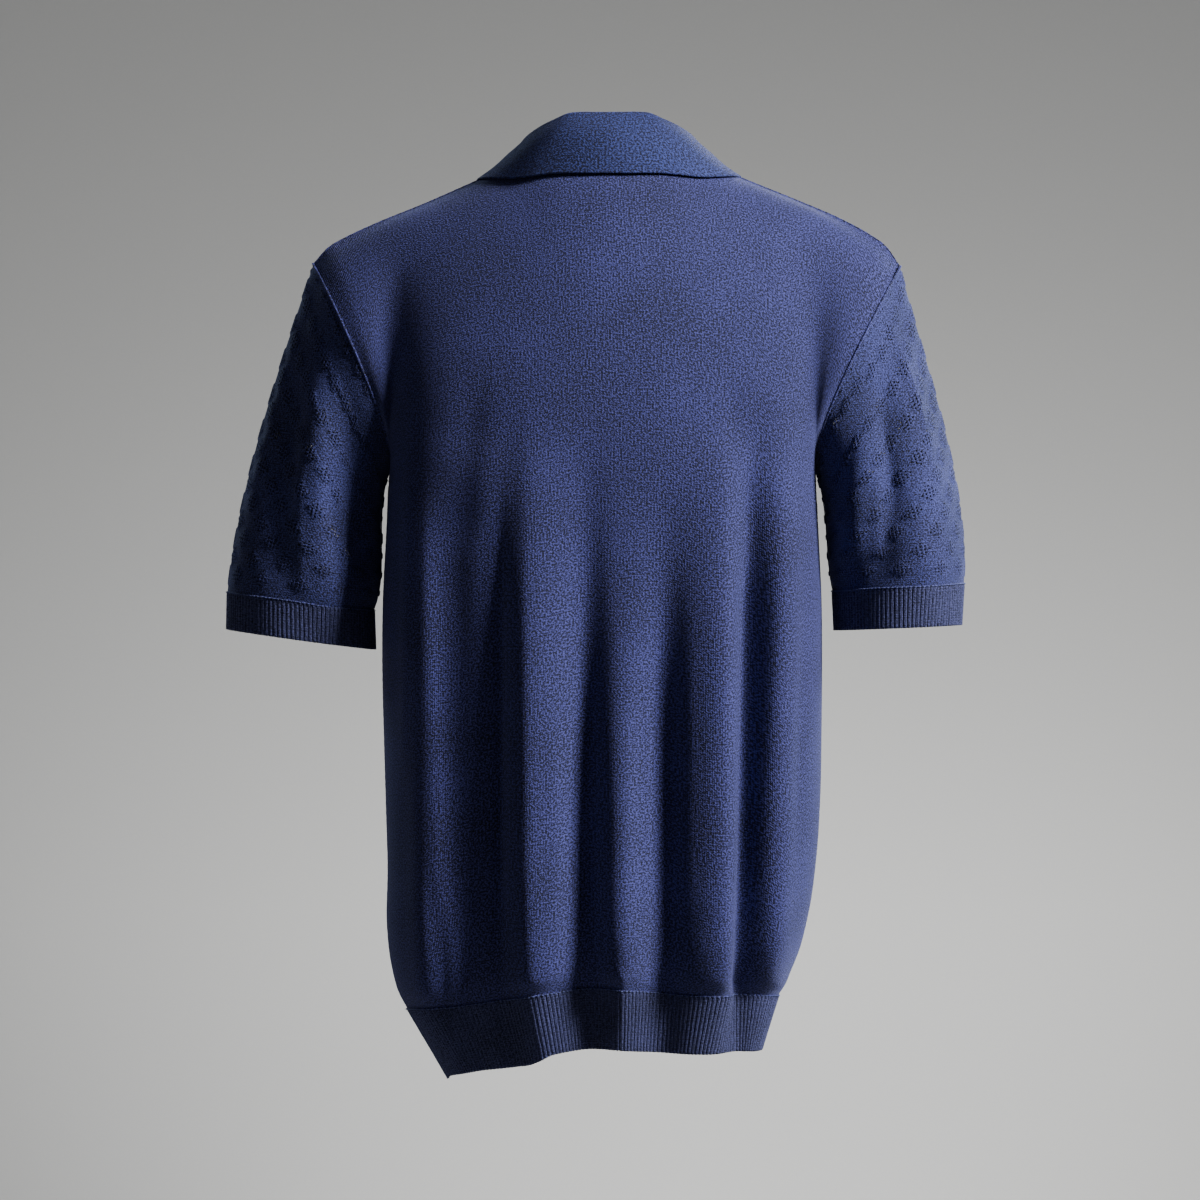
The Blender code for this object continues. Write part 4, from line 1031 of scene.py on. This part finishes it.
collar_points, across = collar_grid()
normals = grid_normals(collar_points)
if (normals[:4] * collar_points[:4] * np.array([1.0, 1.0, 0.0])).sum() < 0:
    normals = -normals
collar = knitted("collar_knit", collar_points, normals, across, run_along(collar_points, 0))
give_wall(collar, COLLAR_WALL, 0.0)
finish(collar, ["collar"], collar_knit)

# %% [markdown]
# ## Placket
# The front opens in a short placket: two bands, one over the other, that follow the chest. Each is
# read off the front's own grid and lifted, so it lies on the curve of the panel.

# %% Placket bands
TOP_LIFT, UNDER_LIFT = 1.3 * MM, -1.5 * MM
PLACKET_WALL = 1.2 * MM
PLACKET_COLUMNS = 19


def placket(name, lift, replaced):
    points = [row for row in body[-1]["points"] if row[middle_column, 2] > SLOT_BOTTOM_Z]
    x = np.linspace(-SLOT_HALF_WIDTH, SLOT_HALF_WIDTH, PLACKET_COLUMNS)
    grid = np.array([[[np.interp(v, row[:, 0], row[:, k]) for k in range(3)] for v in x] for row in points])
    normals = grid_normals(grid) * -1
    grid = grid + normals * lift
    obj = knitted(name, grid, normals, x + SLOT_HALF_WIDTH, run_along(grid, 0))
    give_wall(obj, PLACKET_WALL, 0.0)
    finish(obj, [replaced], plain_knit)
    return obj


placket_top = placket("placket_top_knit", TOP_LIFT, "placket_top")
placket_under = placket("placket_under_knit", UNDER_LIFT, "placket_under")

# %% [markdown]
# ## Buttons
# Four-hole buttons cast in a dark polyester resin: glossy, with a faint cloud in the colour, about
# 4 mm from one tone to the next. The solids have the right form, so only their finish is new.

# %% Button finish
BUTTONS = (1, 2, 3)
button_resin = mottled("polyester_button_resin", "#10142B", "#232A50", 260.0, 0.28)
for number in BUTTONS:
    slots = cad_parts[f"button_{number}"].data.materials
    slots.clear()
    slots.append(button_resin)

# %% [markdown]
# ## Linked seams
# Fully fashioned knitwear is linked, loop to loop, so each seam is a narrow raised cord of yarn and
# not a folded allowance. It catches the light along the armholes, the shoulders and the sides. Each
# is a thin round cord that lies half sunk in the join.

# %% Seam cords
SEAM_RADIUS = 0.95 * MM
SEAM_SIDES = 6
SEAM_STEP = 2.4 * MM
LOOP_SWELL = 0.16


def cord(name, line, radius, lift, away, closed_line=False, material=plain_knit):
    """A round cord along a line of points, lifted a little along `away`."""
    if closed_line:
        line, away = np.concatenate([line, line[:1]]), np.concatenate([away, away[:1]])
    run = run_along(line, 0)
    at = np.linspace(0.0, run[-1], max(8, round(run[-1] / SEAM_STEP)))
    path, out = spline(line, run, at), unit(spline(away, run, at))
    path = path + out * lift
    side = unit(np.cross(np.gradient(path, axis=0), out))
    turn = np.linspace(0.0, 2 * math.pi, SEAM_SIDES + 1)[:-1]
    swell = 1.0 + LOOP_SWELL * np.sin(np.arange(len(path)) * 2.1)
    ring = (out[:, None] * np.cos(turn)[None, :, None] + side[:, None] * np.sin(turn)[None, :, None])
    points = path[:, None] + ring * (radius * swell)[:, None, None]
    obj = knitted(name, points, ring, np.linspace(0.0, 4 * radius, SEAM_SIDES + 1),
                  np.repeat(at[:, None], SEAM_SIDES, axis=1), ring=True)
    finish(obj, [], material)


# %% [markdown]
# ## Where the seams run
# The cords follow the grids' own edges: armhole, side, shoulder, cuff and hem. The armhole's is the
# widest, because it joins the heaviest edges.

# %% Seams
UP = np.array([0.0, 0.0, 1.0])
SIDE_RADIUS, BAND_RADIUS, SEAM_LIFT = SEAM_RADIUS * 0.8, SEAM_RADIUS * 0.7, 0.5 * MM

for hand, word in ((1, "left"), (-1, "right")):
    sleeve = sleeves[hand]
    cord(f"armhole_seam_{word}", sleeve["points"][0], SEAM_RADIUS, SEAM_LIFT, sleeve["normals"][0], True)
    side_line = body[1]["points"][::4, -1 if hand > 0 else 0]
    below_armpit = int(np.interp(ARMPIT_Z, side_line[:, 2], np.arange(len(side_line)))) + 1
    side_line = side_line[:below_armpit]
    away = np.tile([hand * 1.0, 0.0, 0.0], (len(side_line), 1))
    cord(f"side_seam_{word}", side_line, SIDE_RADIUS, 0.0, away)
    top = body[1]["points"][-1]
    beyond = top[(top[:, 0] - NECK_X) * hand > NECK_HALF_WIDTH]
    cord(f"shoulder_seam_{word}", beyond, SIDE_RADIUS, 0.0, np.tile(UP, (len(beyond), 1)))
    cord(f"cuff_seam_{word}", sleeve["points"][-1], BAND_RADIUS, SEAM_LIFT, sleeve["normals"][-1], True)
for side, word in ((1, "back"), (-1, "front")):
    cord(f"hem_seam_{word}", body[side]["points"][0], BAND_RADIUS, SEAM_LIFT, body[side]["normals"][0])

# %% [markdown]
# ## Stitches over the ribs
# Where the rib starts, a row of transferred loops shows as short dashes of yarn. Their pale colour is a
# painted highlight. Hundreds of them would be heavy as smooth capsules, so each is a five-sided bead
# with five rings of points.

# %% Dashes
DASH_STEP, DASH_LENGTH, DASH_RADIUS, DASH_LIFT = 3.6 * MM, 1.9 * MM, 0.45 * MM, 1.2 * MM
DASH_SIDES = 5
DASH_PROFILE = ((0.0, 0.25), (0.2, 0.85), (0.5, 1.0), (0.8, 0.85), (1.0, 0.25))
DASH_RINGS = len(DASH_PROFILE)
# The stitch yarn is paler than the knit: a painted highlight on the dashes, which the button threads share.
stitch_yarn = mottled("stitch_yarn_painted_highlight", "#2C3460", "#5A6494", 900.0, 0.75)


def dash_points(start, line, away, run):
    at = np.array([start + DASH_LENGTH * along for along, _ in DASH_PROFILE])
    path, out = spline(line, run, at), unit(spline(away, run, at))
    path = path + out * DASH_LIFT
    side = unit(np.cross(np.gradient(path, axis=0), out))
    turn = np.linspace(0.0, 2 * math.pi, DASH_SIDES + 1)[:-1]
    spoke = out[:, None] * np.cos(turn)[None, :, None] + side[:, None] * np.sin(turn)[None, :, None]
    wide = np.array([wide for _, wide in DASH_PROFILE])[:, None, None]
    return (path[:, None] + spoke * DASH_RADIUS * wide).reshape(-1, 3)


def dash_faces(first):
    faces = []
    for start in range(first, first + (DASH_RINGS - 1) * DASH_SIDES, DASH_SIDES):
        for m in range(DASH_SIDES):
            a, b = start + m, start + (m + 1) % DASH_SIDES
            faces.append((a, b, b + DASH_SIDES, a + DASH_SIDES))
    last = first + (DASH_RINGS - 1) * DASH_SIDES
    return faces + [tuple(range(first, first + DASH_SIDES))[::-1], tuple(range(last, last + DASH_SIDES))]


def dashes(name, line, away, closed_line=False):
    if closed_line:
        line, away = np.concatenate([line, line[:1]]), np.concatenate([away, away[:1]])
    run = run_along(line, 0)
    starts = np.arange(DASH_STEP / 2, run[-1] - DASH_STEP, DASH_STEP)
    corners = np.concatenate([dash_points(start, line, away, run) for start in starts])
    faces = [face for k in range(len(starts)) for face in dash_faces(k * DASH_RINGS * DASH_SIDES)]
    obj = new_object(name, corners, faces)
    obj.data.uv_layers.new(name="flat_knit")
    obj.data.shade_smooth()
    finish(obj, [], stitch_yarn)
    print(name, len(starts), "stitches")


for hand, word in ((1, "left"), (-1, "right")):
    dashes(f"cuff_dashes_{word}", sleeves[hand]["points"][-1], sleeves[hand]["normals"][-1], True)
for side, word in ((1, "back"), (-1, "front")):
    dashes(f"hem_dashes_{word}", body[side]["points"][0], body[side]["normals"][0])

# %% [markdown]
# ## Button threads
# Each button is held by two short bars of thread that cross from hole to hole over its face.

# %% Threads
HOLE_ASIDE, THREAD_RADIUS, FACE_RADIUS = 1.1 * MM, 0.32 * MM, 3 * MM
# Along a bar, in shares of the holes' distance, and above the button's face, in millimetres.
BAR = ((-1.0, -1.0), (-0.9, 0.0), (-0.5, 0.3), (0.5, 0.3), (0.9, 0.0), (1.0, -1.0))

for number in BUTTONS:
    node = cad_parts[f"button_{number}"]
    disc = np.array([node.matrix_world @ v.co for v in node.data.vertices])
    middle = (disc.max(axis=0) + disc.min(axis=0)) / 2
    out = np.linalg.svd(disc - disc.mean(axis=0))[2][2]
    out = out * -np.sign(out[1])
    right = unit(np.cross(out, UP))
    up = np.cross(right, out)
    height = (disc - middle) @ out
    inner = np.linalg.norm((disc - middle) - np.outer(height, out), axis=1) < FACE_RADIUS
    face = height[inner].max()
    for row in (-1, 1):
        start = middle + up * HOLE_ASIDE * row
        bar = [start + right * HOLE_ASIDE * x + out * (face + h * MM) for x, h in BAR]
        cord(f"button_thread_{number}_{row + 2}", np.array(bar), THREAD_RADIUS, 0.0,
             np.tile(up, (len(bar), 1)), material=stitch_yarn)

# %% [markdown]


# %% [markdown]
# ## Studio
# A round cove of pale paper stands about the shirt: a floor that curves up into a wall, so no edge
# shows from any side. It is lit softly, brighter low down, as a lamp on the floor would do it.

# %% Cove
FLOOR_Z, COVE_RADIUS, COVE_BEND, COVE_TOP, COVE_TURNS = -2.0, 5.0, 1.0, 4.0, 96
bend = np.linspace(0.0, math.pi / 2, 13)
profile = [(0.0, 0.0, FLOOR_Z)]
profile += [(COVE_RADIUS - COVE_BEND * (1 - math.sin(a)), 0.0, FLOOR_Z + COVE_BEND * (1 - math.cos(a)))
            for a in bend]
profile += [(COVE_RADIUS, 0.0, COVE_TOP)]
mesh = bpy.data.meshes.new("studio_cove")
mesh.from_pydata(profile, [(k, k + 1) for k in range(len(profile) - 1)], [])
cove = bpy.data.objects.new("studio_cove", mesh)
bpy.context.scene.collection.objects.link(cove)
bpy.ops.object.select_all(action="DESELECT")
bpy.context.view_layer.objects.active = cove
cove.select_set(True)
bpy.ops.object.mode_set(mode="EDIT")
bpy.ops.mesh.select_all(action="SELECT")
bpy.ops.mesh.spin(steps=COVE_TURNS, angle=2 * math.pi, center=(0, 0, 0), axis=(0, 0, 1))
bpy.ops.mesh.select_all(action="SELECT")
bpy.ops.mesh.remove_doubles(threshold=0.1 * MM)
bpy.ops.mesh.normals_make_consistent(inside=True)
bpy.ops.object.mode_set(mode="OBJECT")
cove.data.shade_smooth()
cove.data.materials.append(mottled("backdrop_paper", "#80807F", "#858584", 400.0, 0.95))
print("cove:", len(cove.data.polygons), "faces, floor faces up:", cove.data.polygons[0].normal.z > 0)

# %% [markdown]
# ## Light
# A strong soft lamp high on one side rakes across the back, so that each hanging fold has a lit and
# a dark flank. Two cooler lamps behind draw thin rims on both outlines and shine through the
# eyelets, one lights the hidden front, and one low down brightens the wall behind the shirt.

# %% Lamps and world
AIM = Vector((0.0, 0.0, -0.36))
RIM_TINT = "#C8E0FF"
WORLD_STRENGTH = 0.045


def area_light(name, place, size, watts, aim=AIM, tint="#FFFFFF"):
    lamp = bpy.data.lights.new(name, "AREA")
    lamp.size, lamp.energy, lamp.color = size, watts, colour(tint)[:3]
    obj = bpy.data.objects.new(name, lamp)
    obj.location = place
    obj.rotation_euler = (aim - Vector(place)).to_track_quat("-Z", "Y").to_euler()
    bpy.context.scene.collection.objects.link(obj)


area_light("key", (-2.4, 1.33, 1.3), 0.9, 272)
area_light("fill", (1.6, 3.4, 0.6), 2.0, 0.5)
area_light("rim_left", (1.4, -2.1, 0.7), 0.7, 16, tint=RIM_TINT)
area_light("rim_right", (-1.6, -1.9, 0.6), 0.7, 34, tint=RIM_TINT)
area_light("front_light", (-1.4, -3.0, 1.2), 1.0, 60)
area_light("wall_light", (-0.3, -3.6, -1.85), 1.8, 195, aim=Vector((-0.3, -5.0, -1.1)))
world = bpy.data.worlds.new("studio")
world.use_nodes = True
background = world.node_tree.nodes["Background"]
background.inputs["Color"].default_value = colour("#C8CCD4")
background.inputs["Strength"].default_value = WORLD_STRENGTH
bpy.context.scene.world = world

# %% [markdown]
# ## Camera
# The camera stands behind the shirt, level with its middle. The lens is worked out from two lengths:
# how far the camera stands off and how wide a strip it sees there.

# %% Camera
SENSOR_WIDTH, CAMERA_DISTANCE, STRIP_WIDTH = 36.0, 3.2, 0.972
CAMERA_X, CAMERA_Z = 0.0032, -0.3564

lens = bpy.data.cameras.new("camera")
lens.sensor_width, lens.lens = SENSOR_WIDTH, SENSOR_WIDTH * CAMERA_DISTANCE / STRIP_WIDTH
camera = bpy.data.objects.new("camera", lens)
camera.location = (CAMERA_X, CAMERA_DISTANCE, CAMERA_Z)
camera.rotation_euler = (math.pi / 2, 0.0, math.pi)
bpy.context.scene.collection.objects.link(camera)
bpy.context.scene.camera = camera
print("lens %.1f mm" % lens.lens)
